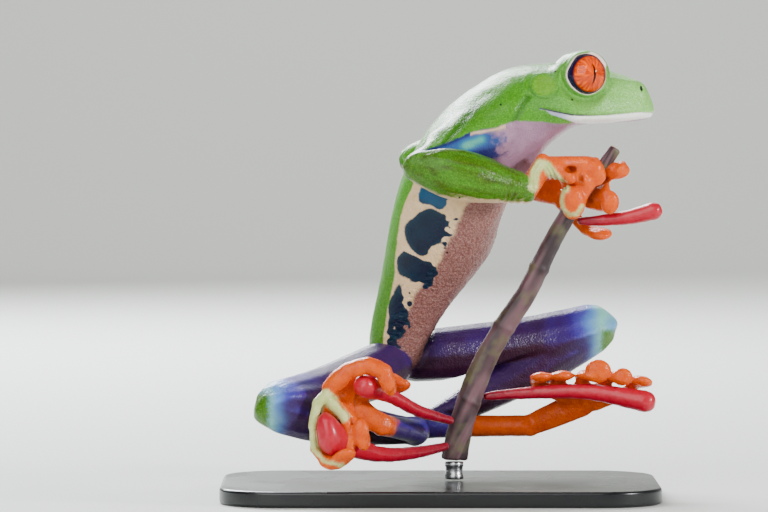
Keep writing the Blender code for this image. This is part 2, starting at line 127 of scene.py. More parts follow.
def soften(field, reach, passes=2):
    """Averages a field over reach millimetres each way, which rounds a solid's facets off."""
    reach = max(1, round(reach / PITCH))
    span = 2 * reach + 1
    for _ in range(passes):
        for axis in range(3):
            pad = [(0, 0)] * 3
            pad[axis] = (reach + 1, reach)
            total = np.cumsum(np.pad(field, pad, mode="edge"), axis=axis, dtype=np.float64)
            ahead = np.take(total, np.arange(span, total.shape[axis]), axis=axis)
            behind = np.take(total, np.arange(0, total.shape[axis] - span), axis=axis)
            field = ((ahead - behind) / span).astype(np.float32)
    return field


def join(a, b, reach):
    """The nearer of two distances, with the crease between them filled over reach."""
    share = np.clip(0.5 + 0.5 * (a - b) / reach, 0, 1)
    return a * (1 - share) + b * share - reach * share * (1 - share)


def cut(a, b, reach):
    """What is left of a without b, with the edge rounded over reach."""
    return -join(-a, b, reach)


def meeting(a, b):
    """The middle of where two solids meet."""
    first, second = SOLIDS[a][0], SOLIDS[b][0]
    gaps = [np.min(np.linalg.norm(second - point, axis=1)) for point in first]
    return first[np.array(gaps) < max(0.8, min(gaps) + 0.3)].mean(0)


TOUCH = 0.35  # mm of fillet where two parts of the body only lie against each other


def closed_up(field, block, reach):
    """Fills gaps and hollow corners narrower than reach, and leaves flat and domed skin where it is."""
    grid = openvdb.FloatGrid(BAND)
    grid.copyFromArray(np.ascontiguousarray(field), ijk=block.corner(), tolerance=0.0)
    points, triangles, quads = grid.convertToPolygons(isovalue=reach, adaptivity=0.0)
    faces = np.vstack([triangles, quads[:, [0, 1, 2]], quads[:, [0, 2, 3]]]).astype(np.uint32)
    again = distances(points, faces, block)
    if again[tuple(np.array(field.shape) // 2)] > 0 and again.min() > -0.5:
        again = distances(points, faces[:, ::-1], block)
    return again + reach


SHELLS = {}  # each part's own field, kept to tell later which part a place on the skin belongs to


def flesh_field():
    """One distance field of the whole body, with its joints filled in."""
    whole = np.full(tuple(CELLS), BAND, np.float32)
    block = Block(np.vstack([SOLIDS[name][0] for name in TORSO]))
    for name in TORSO:
        SHELLS[name] = block, from_solid(name, block)
    torso = np.min([SHELLS[name][1] for name in TORSO] + [np.full(block.shape, BAND, np.float32)], axis=0)
    whole[block.cut] = soften(closed_up(torso, block, 1.0), 0.55)
    for name in FLESH[len(TORSO):]:
        part, _, side = name.rpartition("_")
        parent, fillet = JOINTS[part]
        block = Block(SOLIDS[name][0])
        field = from_solid(name, block)
        SHELLS[name] = block, field
        if part in ("hand", "foot"):
            # Skin spans the narrow clefts between the digits.
            field = soften(closed_up(field, block, 0.6), 0.2)
        else:
            field = soften(field, 0.4)
        place = meeting(name, parent if parent in SOLIDS else f"{parent}_{side}")
        reach = 14.0 if part == "shank" else 3.5
        fillet = TOUCH + fillet * np.exp(-((length(block.off(place)) / reach) ** 2))
        whole[block.cut] = join(whole[block.cut], field, fillet)
    return whole


def loops(bands, turns, first=0):
    """Bands of faces between rows of points that are closed loops; the first point has number first."""
    faces = []
    for row in range(bands):
        a, b = first + row * turns, first + (row + 1) * turns
        faces += [(a + i, a + (i + 1) % turns, b + (i + 1) % turns, b + i) for i in range(turns)]
    return faces


def mesh_of(name, places, faces):
    """A smooth-shaded mesh in metres from places in millimetres."""
    mesh = bpy.data.meshes.new(name)
    mesh.from_pydata((np.asarray(places) * MM).tolist(), [], faces)
    mesh.shade_smooth()
    return mesh


def lid_ring(side):
    """The thin edge of the lids round one eye, as a closed ring: places in millimetres and faces."""
    sign = SIDES[side]
    angle = 2 * math.pi * np.arange(LID_TURNS) / LID_TURNS
    polar = np.arcsin(np.interp(np.degrees(angle), *LID_EDGE.T) / EYE_RADIUS)
    rows = []
    for lift, back in LID_PROFILE:
        turn = polar + math.radians(back)
        ways = [np.sin(turn) * np.cos(angle), sign * np.cos(turn), np.sin(turn) * np.sin(angle)]
        rows.append((EYE_RADIUS + lift) * np.stack(ways, 1))
    count = len(rows) * LID_TURNS
    faces = [tuple(i % count for i in face)[::sign] for face in loops(len(rows), LID_TURNS)]
    return np.vstack(rows) + EYE[side], faces


def surface(name, field, first=(0, 0, 0), extra=()):
    """The surface of a distance field as a mesh, with extra pieces of (places, faces) in the same mesh."""
    grid = openvdb.FloatGrid(BAND)
    grid.copyFromArray(np.ascontiguousarray(field), ijk=(0, 0, 0), tolerance=0.0)
    points, triangles, quads = grid.convertToPolygons(isovalue=0.0, adaptivity=0.0)
    places = (points + np.array(first)) * PITCH + LOW
    out = 1 if np.linalg.det(places[quads[:, :3].astype(int)] - places.mean(0)).sum() > 0 else -1
    faces = quads[:, ::out].tolist() + triangles[:, ::out].tolist()
    for more, more_faces in extra:
        faces += [tuple(i + len(places) for i in face) for face in more_faces]
        places = np.vstack([places, more])
    return mesh_of(name, places, faces)


def blended(cells, part, value_of):
    """Values blended from the eight cells round each place, part of the way from one to the next."""
    corners = np.ndindex(2, 2, 2)
    return sum(np.prod(np.where(step, part, 1 - part), axis=1) * value_of(cells + step) for step in corners)


def sampled(block, field, points):
    """A field's values at places in millimetres, BAND outside its block."""
    at = (points - LOW) / PITCH - block.first
    cells = np.floor(at).astype(int)
    held = np.all((cells >= 0) & (cells < np.array(field.shape) - 1), axis=1)
    values = np.full(len(points), BAND, float)
    values[held] = blended(cells[held], (at - cells)[held], lambda spot: field[tuple(spot.T)])
    return values


def grain(points, size, seed):
    """Smooth random heights from -1 to 1 with lumps of a size in millimetres."""
    table = np.random.default_rng(seed).uniform(-1, 1, (64, 64, 64))
    at = np.asarray(points) / size
    cells = np.floor(at).astype(int)
    part = at - cells
    return blended(cells, part * part * (3 - 2 * part), lambda spot: table[tuple((spot % 64).T)])


def pebbles(points, size, seed):
    """Height of close round granules of a size in millimetres: 1 on top, 0 between them."""
    table = np.random.default_rng(seed).uniform(0.1, 0.9, (32, 32, 32, 3))
    at = np.asarray(points) / size
    base = np.floor(at).astype(int)
    nearest = np.full(len(at), 9.0)
    for step in np.ndindex(3, 3, 3):
        cell = base + np.array(step) - 1
        nearest = np.minimum(nearest, np.sum((cell + table[tuple((cell % 32).T)] - at) ** 2, axis=1))
    return np.clip(1 - nearest / 0.55, 0, 1)


# ---------------------------------------------------------------- places on the body, in millimetres

def middle(name):
    low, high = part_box(name)
    return (np.array(low) + np.array(high)) / 2 / MM


EYE = {side: middle(f"eye_{side}") for side in SIDES}
EYE_RADIUS = (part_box("eye_right")[1][2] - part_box("eye_right")[0][2]) / 2 / MM
EYE_X, EYE_Z = EYE[RIGHT][0], EYE[RIGHT][2]
RISE = EYE_Z - 69.4  # how far the body stands above the height that the places below are given for

# The parting of the lips, corner to snout: (x, z).
MOUTH = np.array([
    (15.7, 64.0), (19.0, 63.3), (20.8, 62.95), (23.6, 62.8), (26.3, 62.85), (29.0, 63.1), (31.8, 63.35),
    (34.3, 63.2),
])
# The lower edge of the pale lower lip, and of the green on the jaw behind it: (x, z).
LIP_EDGE = np.array([
    (16.4, 63.8), (17.5, 63.0), (19.7, 62.3), (21.4, 61.65), (24.5, 61.6), (27.2, 61.7), (30.9, 62.15),
    (34.3, 62.6),
])
JAW_EDGE = np.array([
    (8.0, 61.2), (11.7, 62.0), (16.3, 61.9), (18.6, 61.7), (20.5, 61.6), (21.6, 62.2), (22.6, 63.1),
])

# The eardrum: middle and half its length and height, (x, z).
DRUM, DRUM_HALF = np.array((16.4, 67.65)), np.array((2.05, 1.83))
# The lids' edge seen from the side: degrees round the eye from straight ahead, and mm from its middle.
LID_EDGE = np.array([
    (0, 3.06), (18, 3.08), (38, 3.03), (59, 3.13), (77, 3.15), (91, 3.17), (117, 3.15), (136, 2.87), (154, 2.8),
    (177, 2.93), (189, 2.93), (208, 2.86), (233, 2.87), (254, 3.01), (277, 3.15), (298, 3.17), (326, 3.17),
    (346, 3.13), (360, 3.06),
])
LID_THICK = 0.45
# The lid's own outline across its edge: mm over the eye and degrees back from the edge.
LID_PROFILE = [
    (0.02, 48), (0.02, 12), (0.02, 3), (0.06, -0.5), (0.16, -2.2), (0.28, -1.2), (0.38, 2.5), (0.45, 8),
    (0.49, 15), (0.48, 24), (0.40, 33), (0.22, 42),
]
LID_TURNS = 180

# The muscle over the shoulder: its lower edge (x, z), its ends on the left side and its half thickness.
SHOULDER_EDGE = np.array([
    (-7.0, 55.8), (-4.0, 56.9), (0.0, 58.3), (1.4, 58.8), (5.2, 60.4), (8.5, 60.9), (11.8, 62.0),
])
SHOULDER_ENDS, SHOULDER_THICK = ((10.6, 7.0, 63.2), (-0.4, 7.4, 58.4)), 2.3
# The pale edge of the outer finger, its pad's rim and the pale edge of the outer toe on the right side: (x, z).
OUTER_FINGER = np.array([
    (14.6, 51.6), (14.9, 53.9), (15.7, 55.2), (16.8, 54.9), (17.8, 53.5), (18.9, 52.3), (19.8, 51.3),
])
PAD_RIM = np.array([(19.8, 51.3), (19.3, 49.4), (19.6, 47.9), (20.6, 47.0), (21.8, 47.1), (22.6, 48.4)])
OUTER_TOE = [
    (-15.3, 16.3), (-17.4, 18.8), (-18.0, 19.4), (-19.3, 18.3), (-20.1, 14.8), (-19.9, 11.2), (-18.2, 9.2),
    (-15.6, 8.8),
]

# The top of the shoulder and the creases behind the jaw and along the shoulder, as seen from the side: (x, z).
SHOULDER_TOP = [(-5.0, 57.4), (-2.4, 57.6), (0.4, 60.6), (3.4, 64.0), (6.8, 66.2), (10.0, 67.2)]
SHOULDER_SHELF = [
    (-3.6, 55.8), (-1.3, 59.2), (0.8, 61.9), (3.4, 64.7), (6.8, 66.7), (11.6, 67.7), (13.6, 68.9),
]
JAW_CREASE = [(13.7, 65.8), (12.6, 64.0), (12.0, 62.6), (11.4, 61.7)]
SHOULDER_CREASE = [(-0.2, 57.6), (1.9, 60.0), (4.0, 62.4), (5.8, 64.4), (8.6, 65.8)]

NOSTRIL, NOSTRIL_SHAPE = (32.0, 3.5, 67.1), np.array((0.62, 0.8, 1.0))
ELBOW_TIPS = ((-6.3, -11.6, 56.1), (-6.8, 11.8, 56.9))
FINGER_Y = -2.4  # the outer finger lies on this side of it
WRIST, HEEL = (14.0, 9.6, 51.2), (-3.2, 6.0, 12.1)  # on the left side; the right one mirrors it
KNEE_END = 29.3  # x of the end of the left knee, and of the right one on the other side of 0

# The body's own axis from the nape to the vent: place, lean of the back and twist of the belly.
SPINE = np.array([
    (20.0, 0.0, 64.0, 5, 0), (16.2, 0.0, 63.6, 14, 0), (13.1, 0.0, 62.6, 20, 0), (9.9, 0.0, 60.5, 27, 0),
    (6.8, 0.1, 57.6, 36, 1), (4.2, 0.5, 54.2, 47, 4), (2.2, 1.2, 50.3, 59, 10), (0.9, 2.4, 46.0, 70, 18),
    (-0.4, 3.8, 41.2, 80, 26), (-2.5, 5.2, 36.4, 84, 33), (-4.8, 6.4, 31.6, 87, 38), (-6.5, 7.3, 27.0, 88, 40),
    (-7.3, 7.8, 23.2, 88, 40), (-7.8, 8.2, 19.8, 88, 40),
])

# The green's edge and the dark patches: mm along the axis, and degrees round it from the back's middle.
GREEN_EDGE = np.array([
    (8.4, 88), (10.8, 87), (14.1, 73), (17, 66), (20, 57), (24, 50), (26.4, 49), (29.5, 54), (32, 59),
    (35.4, 69), (37.8, 77), (40.8, 86), (43.2, 91), (48, 100), (52, 105),
])
PATCHES = [
    [(20.6, 63), (20.6, 82), (21.4, 97), (24.4, 96), (23.9, 77), (24.1, 62)],
    [(30.4, 67), (27.3, 67), (25.6, 76), (25.1, 86), (25.3, 100), (24.7, 112), (28.3, 120), (31.3, 115),
     (32.3, 105), (33.1, 95), (32.5, 78)],
    [(36.4, 73), (34.4, 82), (34.2, 103), (35.4, 130), (37.9, 130), (38.4, 107), (38.1, 84)],
    [(42.2, 87), (39.8, 98), (41.0, 112), (51.2, 143), (53.0, 127), (47.5, 104)],
]
ROUND = 0.14  # mm of skin for each degree round the body
# Small dark specks on the head and the flank: (x, z).
SPECKS = [
    (20.8, 65.4), (20.85, 65.36), (9.5, 64.6), (18.2, 69.9), (12.4, 70.6), (2.9, 50.0), (4.1, 39.4),
    (5.6, 37.2), (1.1, 41.0), (6.6, 40.6), (3.3, 36.2),
]
# The hue along a leg: mm in from the end of the knee, and the place in HUES.
LEG_SHADES = (0.5, 2.6, 3.9, 5.2, 7.4, 10.0, 13.0), (0.1, 0.0, 0.1, 0.22, 0.36, 0.48, 0.54)


def near(value, centre, reach):
    """1 at centre, falling smoothly to nothing within about twice reach."""
    return np.exp(-(((value - centre) / reach) ** 2))


def ramp(value, start, end):
    """0 before start, 1 after end, smooth between."""
    share = np.clip((value - start) / (end - start), 0, 1)
    return share * share * (3 - 2 * share)


def from_point(points, place, half=1):
    """Distance of each point from a place, in units of half."""
    return np.linalg.norm((points - np.array(place)) / half, axis=1)


def from_line(points, line):
    """Distance of each point from a bent line."""
    best = np.full(len(points), 1e9)
    line = np.asarray(line, float)
    for a, b in zip(line, line[1:]):
        along = b - a
        share = np.clip((points - a) @ along / (along @ along), 0, 1)
        best = np.minimum(best, np.linalg.norm(points - a - share[:, None] * along, axis=1))
    return best


def in_outline(points, corners):
    """Distance of each flat point from an outline, positive inside it."""
    corners = np.asarray(corners, float)
    best = from_line(points, np.vstack([corners, corners[:1]]))
    inside = np.zeros(len(points), bool)
    x, y = points.T
    for (ax, ay), (bx, by) in zip(corners, np.roll(corners, -1, axis=0)):
        crosses = (ay > y) != (by > y)
        inside ^= crosses & (x < (bx - ax) * (y - ay) / (by - ay + 1e-12) + ax)
    return np.where(inside, best, -best)


def rounded(corners):
    """An outline with its corners cut off twice."""
    corners = np.asarray(corners, float)
    for _ in range(2):
        following = np.roll(corners, -1, axis=0)
        pairs = [0.78 * corners + 0.22 * following, 0.22 * corners + 0.78 * following]
        corners = np.stack(pairs, 1).reshape(-1, 2)
    return corners


def lid_height(ahead, rise):
    """How far out from the eye's middle the lids' edge stands."""
    turn = np.degrees(np.arctan2(rise, ahead)) % 360
    return np.sqrt(EYE_RADIUS ** 2 - np.interp(turn, *LID_EDGE.T) ** 2)


def drum_reach(x, z):
    """1 on the eardrum's rim, less inside it."""
    return np.hypot((x - DRUM[0]) / DRUM_HALF[0], (z - DRUM[1]) / DRUM_HALF[1])


def line_z(line, x):
    return np.interp(x, line[:, 0], line[:, 1])


def along_spine(points):
    """How far along the body's axis each point lies, in millimetres, and how far round it, in degrees."""
    steps = np.linalg.norm(np.diff(SPINE[:, :3], axis=0), axis=1)
    marks = np.concatenate([[0], np.cumsum(steps)])
    best = np.full(len(points), 1e9)
    far, row = np.zeros(len(points)), np.zeros((len(points), 5))
    for a, b, mark, step in zip(SPINE, SPINE[1:], marks, steps):
        along = (b - a)[:3] / step
        share = np.clip((points - a[:3]) @ along / step, 0, 1)
        here = a + share[:, None] * (b - a)
        away = np.linalg.norm(points - here[:, :3], axis=1)
        closer = away < best
        best[closer], far[closer], row[closer] = away[closer], mark + share[closer] * step, here[closer]
    lean, twist = np.radians(row[:, 3]), np.radians(row[:, 4])
    zero = np.zeros(len(points))
    back = np.stack([-np.sin(lean), zero, np.cos(lean)], 1)
    right = np.array([0.0, -1.0, 0.0])
    up = back * np.cos(twist)[:, None] - right * np.sin(twist)[:, None]
    across = right * np.cos(twist)[:, None] + back * np.sin(twist)[:, None]
    out = points - row[:, :3]
    return far, np.degrees(np.arctan2(np.sum(out * across, 1), np.sum(out * up, 1)))


# ---------------------------------------------------------------- the skin's form

def rod(block, a, b, thick):
    """Distance from a rounded bar between two places, thick at its middle."""
    off, along = block.off(a), b - a
    share = np.clip(sum(step * way for step, way in zip(off, along)) / (along @ along), 0, 1)
    off = [step - share * way for step, way in zip(off, along)]
    return length(off) - thick * (0.82 + 0.18 * np.sin(share * math.pi))


def oval(block, middle, half):
    """Distance from an egg-shaped pad."""
    half = np.array(half)
    return (length([step / size for step, size in zip(block.off(middle), half)]) - 1) * half.min()


def shape_eyes_and_shoulders(whole):
    """Lids close round each eye on a raised dome, and the muscle over each shoulder."""
    for side, sign in SIDES.items():
        eye = EYE[side]
        block = Block([eye], 8)
        away = length(block.off(eye))
        ahead, out, rise = block.off(eye)
        lid = lid_height(ahead, rise) - LID_THICK  # the lid's thin edge is drawn separately
        field = join(whole[block.cut], np.maximum(away - (EYE_RADIUS + LID_THICK), out * sign - lid), 0.5)
        slope = lid + np.maximum(away - (EYE_RADIUS + LID_THICK + 0.1), 0)
        field = cut(field, np.maximum(away - (EYE_RADIUS + 3.4), slope - out * sign), 0.4)
        whole[block.cut] = cut(field, away - (EYE_RADIUS + 0.02), 0.12)
        a, b = ((np.array(end) * (1, sign, 1)) + (0, 0, RISE) for end in SHOULDER_ENDS)
        block = Block([a, b], 5)
        whole[block.cut] = join(whole[block.cut], rod(block, a, b, SHOULDER_THICK), 3.2)
    return whole


# The outer toe round its flower, and the arch of the other toes over it: place and half thickness.
RING = [
    (-17.4, -24.6, 20.0, 0.9), (-19.3, -25.2, 18.3, 0.75), (-20.1, -25.8, 14.8, 0.5), (-19.9, -25.8, 11.2, 0.6),
    (-18.2, -25.6, 9.2, 0.95), (-16.2, -25.4, 9.0, 1.05), (-14.5, -25.0, 10.4, 0.95), (-14.1, -24.6, 13.4, 0.8),
    (-15.3, -24.6, 16.3, 0.85), (-17.4, -24.6, 18.6, 0.85),
]
ARCH = [
    (-17.4, -24.2, 20.6, 1.5), (-14.6, -24.8, 23.3, 1.35), (-11.4, -25.2, 24.3, 1.35), (-8.9, -25.0, 23.2, 1.3),
    (-8.3, -24.8, 21.0, 1.15),
]
# Toe and finger pads, and the clefts between the fingers: middle and half size.
DISCS = [
    ((21.0, -3.6, 49.3), (2.0, 0.9, 2.35)), ((24.2, -3.2, 54.3), (1.7, 0.8, 1.4)),
    ((20.7, -5.5, 52.8), (0.95, 0.7, 0.85)), ((28.3, -0.1, 54.0), (2.1, 1.1, 1.35)),
    ((27.2, -0.4, 48.9), (1.5, 1.0, 1.9)), ((25.4, 0.4, 21.8), (2.1, 1.0, 1.9)),
    ((29.3, 0.2, 20.9), (1.6, 0.9, 1.4)), ((-12.6, -25.2, 14.0), (1.3, 0.9, 1.9)),
]
HOLLOWS = [((20.9, -6.6, 54.3), (1.1, 2.6, 0.6)), ((22.5, -5.4, 52.6), (0.45, 1.6, 1.2))]


def shape_digits(whole):
    """The gripping toes' thickness, the pads at the ends of the digits and the clefts between them."""
    up = np.array((0, 0, RISE))

    def grow(owner, ends, reach, shape):
        """Joins a shape to the body, and gives it to the part that owns it."""
        block = Block(ends, 4)
        whole[block.cut] = join(whole[block.cut], shape(block), reach)
        block, field = SHELLS[owner]
        SHELLS[owner] = block, np.minimum(field, shape(block))

    for chain in (RING, ARCH):
        for (*a, thick), (*b, _) in zip(chain, chain[1:]):
            a, b = np.array(a) + up, np.array(b) + up
            grow("foot_right", [a, b], 0.45, lambda block: rod(block, a, b, thick))
    for middle, half in DISCS:
        owner = ("foot" if middle[2] < 30 else "hand") + ("_right" if middle[1] < -2 else "_left")
        middle = np.array(middle) + up
        grow(owner, [middle], 0.3, lambda block: oval(block, middle, half))
    for middle, half in HOLLOWS:
        block = Block([np.array(middle) + up], 4)
        whole[block.cut] = cut(whole[block.cut], oval(block, np.array(middle) + up, half), 0.25)
    return whole


def keep(mesh, name, values):
    """Keeps a value or a vector at each vertex for a material to read."""
    values = np.asarray(values, np.float32)
    kind, key = ("FLOAT", "value") if values.ndim == 1 else ("FLOAT_VECTOR", "vector")
    mesh.attributes.new(name, kind, "POINT").data.foreach_set(key, values.ravel())


class Skin:
    """A mesh's vertices in millimetres, with what sculpting and painting ask of them."""

    def __init__(self, mesh):
        self.mesh = mesh
        self.points = np.empty(len(mesh.vertices) * 3, np.float32)
        mesh.vertices.foreach_get("co", self.points)
        self.points = self.points.reshape(-1, 3).astype(float) / MM
        edges = np.empty(len(mesh.edges) * 2, np.int32)
        mesh.edges.foreach_get("vertices", edges)
        self.edges = edges.reshape(-1, 2)
        self.degree = np.bincount(self.edges.ravel(), minlength=len(self.points))
        self.lids = len(self.points)  # the first vertex of the lids' edges, which come last

    def store(self):
        self.mesh.vertices.foreach_set("co", (self.points * MM).astype(np.float32).ravel())
        self.mesh.update()

    def normals(self):
        self.store()
        found = np.empty(len(self.points) * 3, np.float32)
        self.mesh.vertex_normals.foreach_get("vector", found)
        return found.reshape(-1, 3).astype(float)

    def average(self, values):
        """The mean over each vertex's neighbours."""
        a, b = self.edges.T
        total = np.empty_like(values)
        for i in range(values.shape[1]):
            total[:, i] = np.bincount(a, values[b, i], len(values)) + np.bincount(b, values[a, i], len(values))
        return total / self.degree[:, None]

    def even(self, rounds):
        """Takes the stair steps off without shrinking the body."""
        for _ in range(rounds):
            for share in (0.5, -0.53):
                self.points += share * (self.average(self.points) - self.points)

    def push(self, height):
        """Moves each vertex out along the surface by its height."""
        self.points += self.normals() * height[:, None]


def shares_of(points):
    """How much each place on the skin belongs to each part of the body, from 0 to 1."""
    weights = {name: np.exp(-np.clip(sampled(*SHELLS[name], points), -0.5, BAND) / 0.6) for name in FLESH}
    weights["trunk"] += 0.05  # a fillet far from every solid belongs to the trunk
    total = sum(weights.values())
    shares = {name: weight / total for name, weight in weights.items()}
    shares["body"] = sum(shares[name] for name in TORSO)
    for limb in JOINTS:
        shares[limb] = shares[f"{limb}_right"] + shares[f"{limb}_left"]
    return shares


def placed(skin):
    """Places on the skin, less RISE: as they are, mirrored to the left side, and flat as seen from the side."""
    places = skin.points - (0, 0, RISE)
    mirrored = places.copy()
    mirrored[:, 1] = np.abs(places[:, 1])
    return places, mirrored, places[:, [0, 2]]


def granular(body, far, turn):
    """How much of the belly's granules each place has, from 0 to 1."""
    return body * ramp(far, 19, 23) * ramp(np.abs(turn), 104, 118)


def forearm_streaks(mirrored):
    """Fine lengthwise folds along the forearm, from -1 to 1."""
    along = np.array((17.3, -2.2, -4.0))
    along /= np.linalg.norm(along)
    far = mirrored @ along
    across = mirrored - far[:, None] * along
    return grain(across / 0.62 + (far / 5.5)[:, None] * along, 1.0, 17)


def sculpt(skin):
    """Mouth, nostrils, eardrums, folds, creases and granules, as heights over the smooth skin."""
    lids = skin.points[skin.lids:].copy()
    skin.even(6)
    _, mirrored, flat = placed(skin)
    top = near(from_line(flat, SHOULDER_TOP), 0, 1.3) * ramp(mirrored[:, 1], 2.0, 4.0)
    for _ in range(25):  # draws the top of the shoulders out smooth
        skin.points += 0.5 * top[:, None] * (skin.average(skin.points) - skin.points)
    places, mirrored, flat = placed(skin)
    (x, y, z), side = places.T, mirrored[:, 1]
    shares = shares_of(skin.points)
    body, arm = shares["body"], shares["forearm"]
    height = np.zeros(len(x))

    parting = z - line_z(MOUTH, x)
    lips = ramp(x, 15.4, 17.4) * (z > 58) * (1 - 0.7 * ramp(x, 28.5, 33.0))
    for rise, middle, reach in ((-0.36, 0, 0.18), (0.12, 0.55, 0.35), (0.14, -0.65, 0.4)):
        height += rise * lips * near(parting, middle, reach)

    drum = (drum_reach(x, z) - 1) * DRUM_HALF.mean()
    outside = ramp(side, 4.0, 5.5) * body
    groove = 0.11 * near(drum, 0.42, 0.22) * (1 - 0.8 * ramp(z - DRUM[1], -0.4, 1.0))  # weaker on top
    height += outside * (0.04 * near(drum, 0, 0.2) - groove - 0.10 * (1 - ramp(drum, -0.7, -0.15)))
    behind = ramp(side, 2, 4) * np.clip(body + shares["upper_arm"], 0, 1)
    for line, rise, reach, where in (
        ([(19.5, 70.4), (17.0, 70.3), (14.3, 69.3), (13.7, 67.2), (13.2, 65.4)], 0.07, 0.9, outside),
        (JAW_CREASE, -0.50, 0.5, outside * ramp(z, 60, 62)),
        (SHOULDER_SHELF, 0.14, 0.8, behind),
        (SHOULDER_CREASE, -0.26, 0.6, behind * (1 - ramp(x, 4.0, 7.0))),
        ([(-2.4, 56.6), (-0.4, 59.0), (1.4, 61.0)], -0.12, 0.45, behind),
        ([(2.6, 59.4), (6.4, 62.6), (10.2, 63.6)], 0.16, 1.7, behind),
    ):
        height += rise * near(from_line(flat, line), 0, reach) * where

    nostril = from_point(mirrored, NOSTRIL, NOSTRIL_SHAPE)
    height += 0.14 * near(nostril, 0.8, 0.35) - 0.6 * near(nostril, 0, 0.34)
    height += 0.42 * near(from_point(mirrored, (32.0, 2.2, 67.4)), 0, 2.1)  # the swelling round the nostrils
    for line, rise, reach in (  # the snout's edge and the hollow under it
        ([(27.3, 5.6, 69.2), (31.6, 2.9, 67.7)], 0.24, 0.9),
        ([(27.6, 6.4, 66.2), (30.4, 4.4, 65.8)], -0.28, 1.5),
    ):
        height += rise * near(from_line(mirrored, line), 0, reach)

    far, turn = along_spine(places)
    height += 0.13 * granular(body, far, turn) * pebbles(places, 0.62, 5)
    height += 0.05 * body * ramp(far, 12, 16) * ramp(np.abs(turn), 95, 110) * grain(places, 0.9, 8)
    height += 0.03 * grain(places, 1.6, 3) + 0.015 * grain(places, 0.6, 4)

    wrist = from_point(mirrored, WRIST)
    rings = 0.5 + 0.5 * np.cos((wrist + 0.3 * grain(places, 1.5, 9)) * 2 * math.pi / 0.85)
    height -= arm * 0.15 * rings * ramp(wrist, 0.4, 1.4) * (1 - ramp(wrist, 4.6, 6.6))
    height += arm * (0.3 + 0.10 * forearm_streaks(mirrored) + 0.05 * grain(places, 0.9, 6))
    band = from_line(flat, OUTER_FINGER)
    height += 0.16 * (y < FINGER_Y) * ramp(1.0 - band, 0, 0.2) * (1 + np.cos(band * 2 * math.pi / 0.55))
    for tip in ELBOW_TIPS:
        height += 0.55 * near(from_point(places, tip), 0, 0.6)
    skin.push(height)
    skin.even(1)
    past = skin.points[:, 1] - (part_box("shank_left")[1][1] / MM - 1.1)
    skin.points[:, 1] -= np.where(past > 0, past - 1 + np.exp(-past), 0)  # the far knee stays within its solid
    skin.points[skin.lids:] = lids


OUTSIDE = -3.0  # mm: how far outside its edge a marking is taken to be wherever it can't show


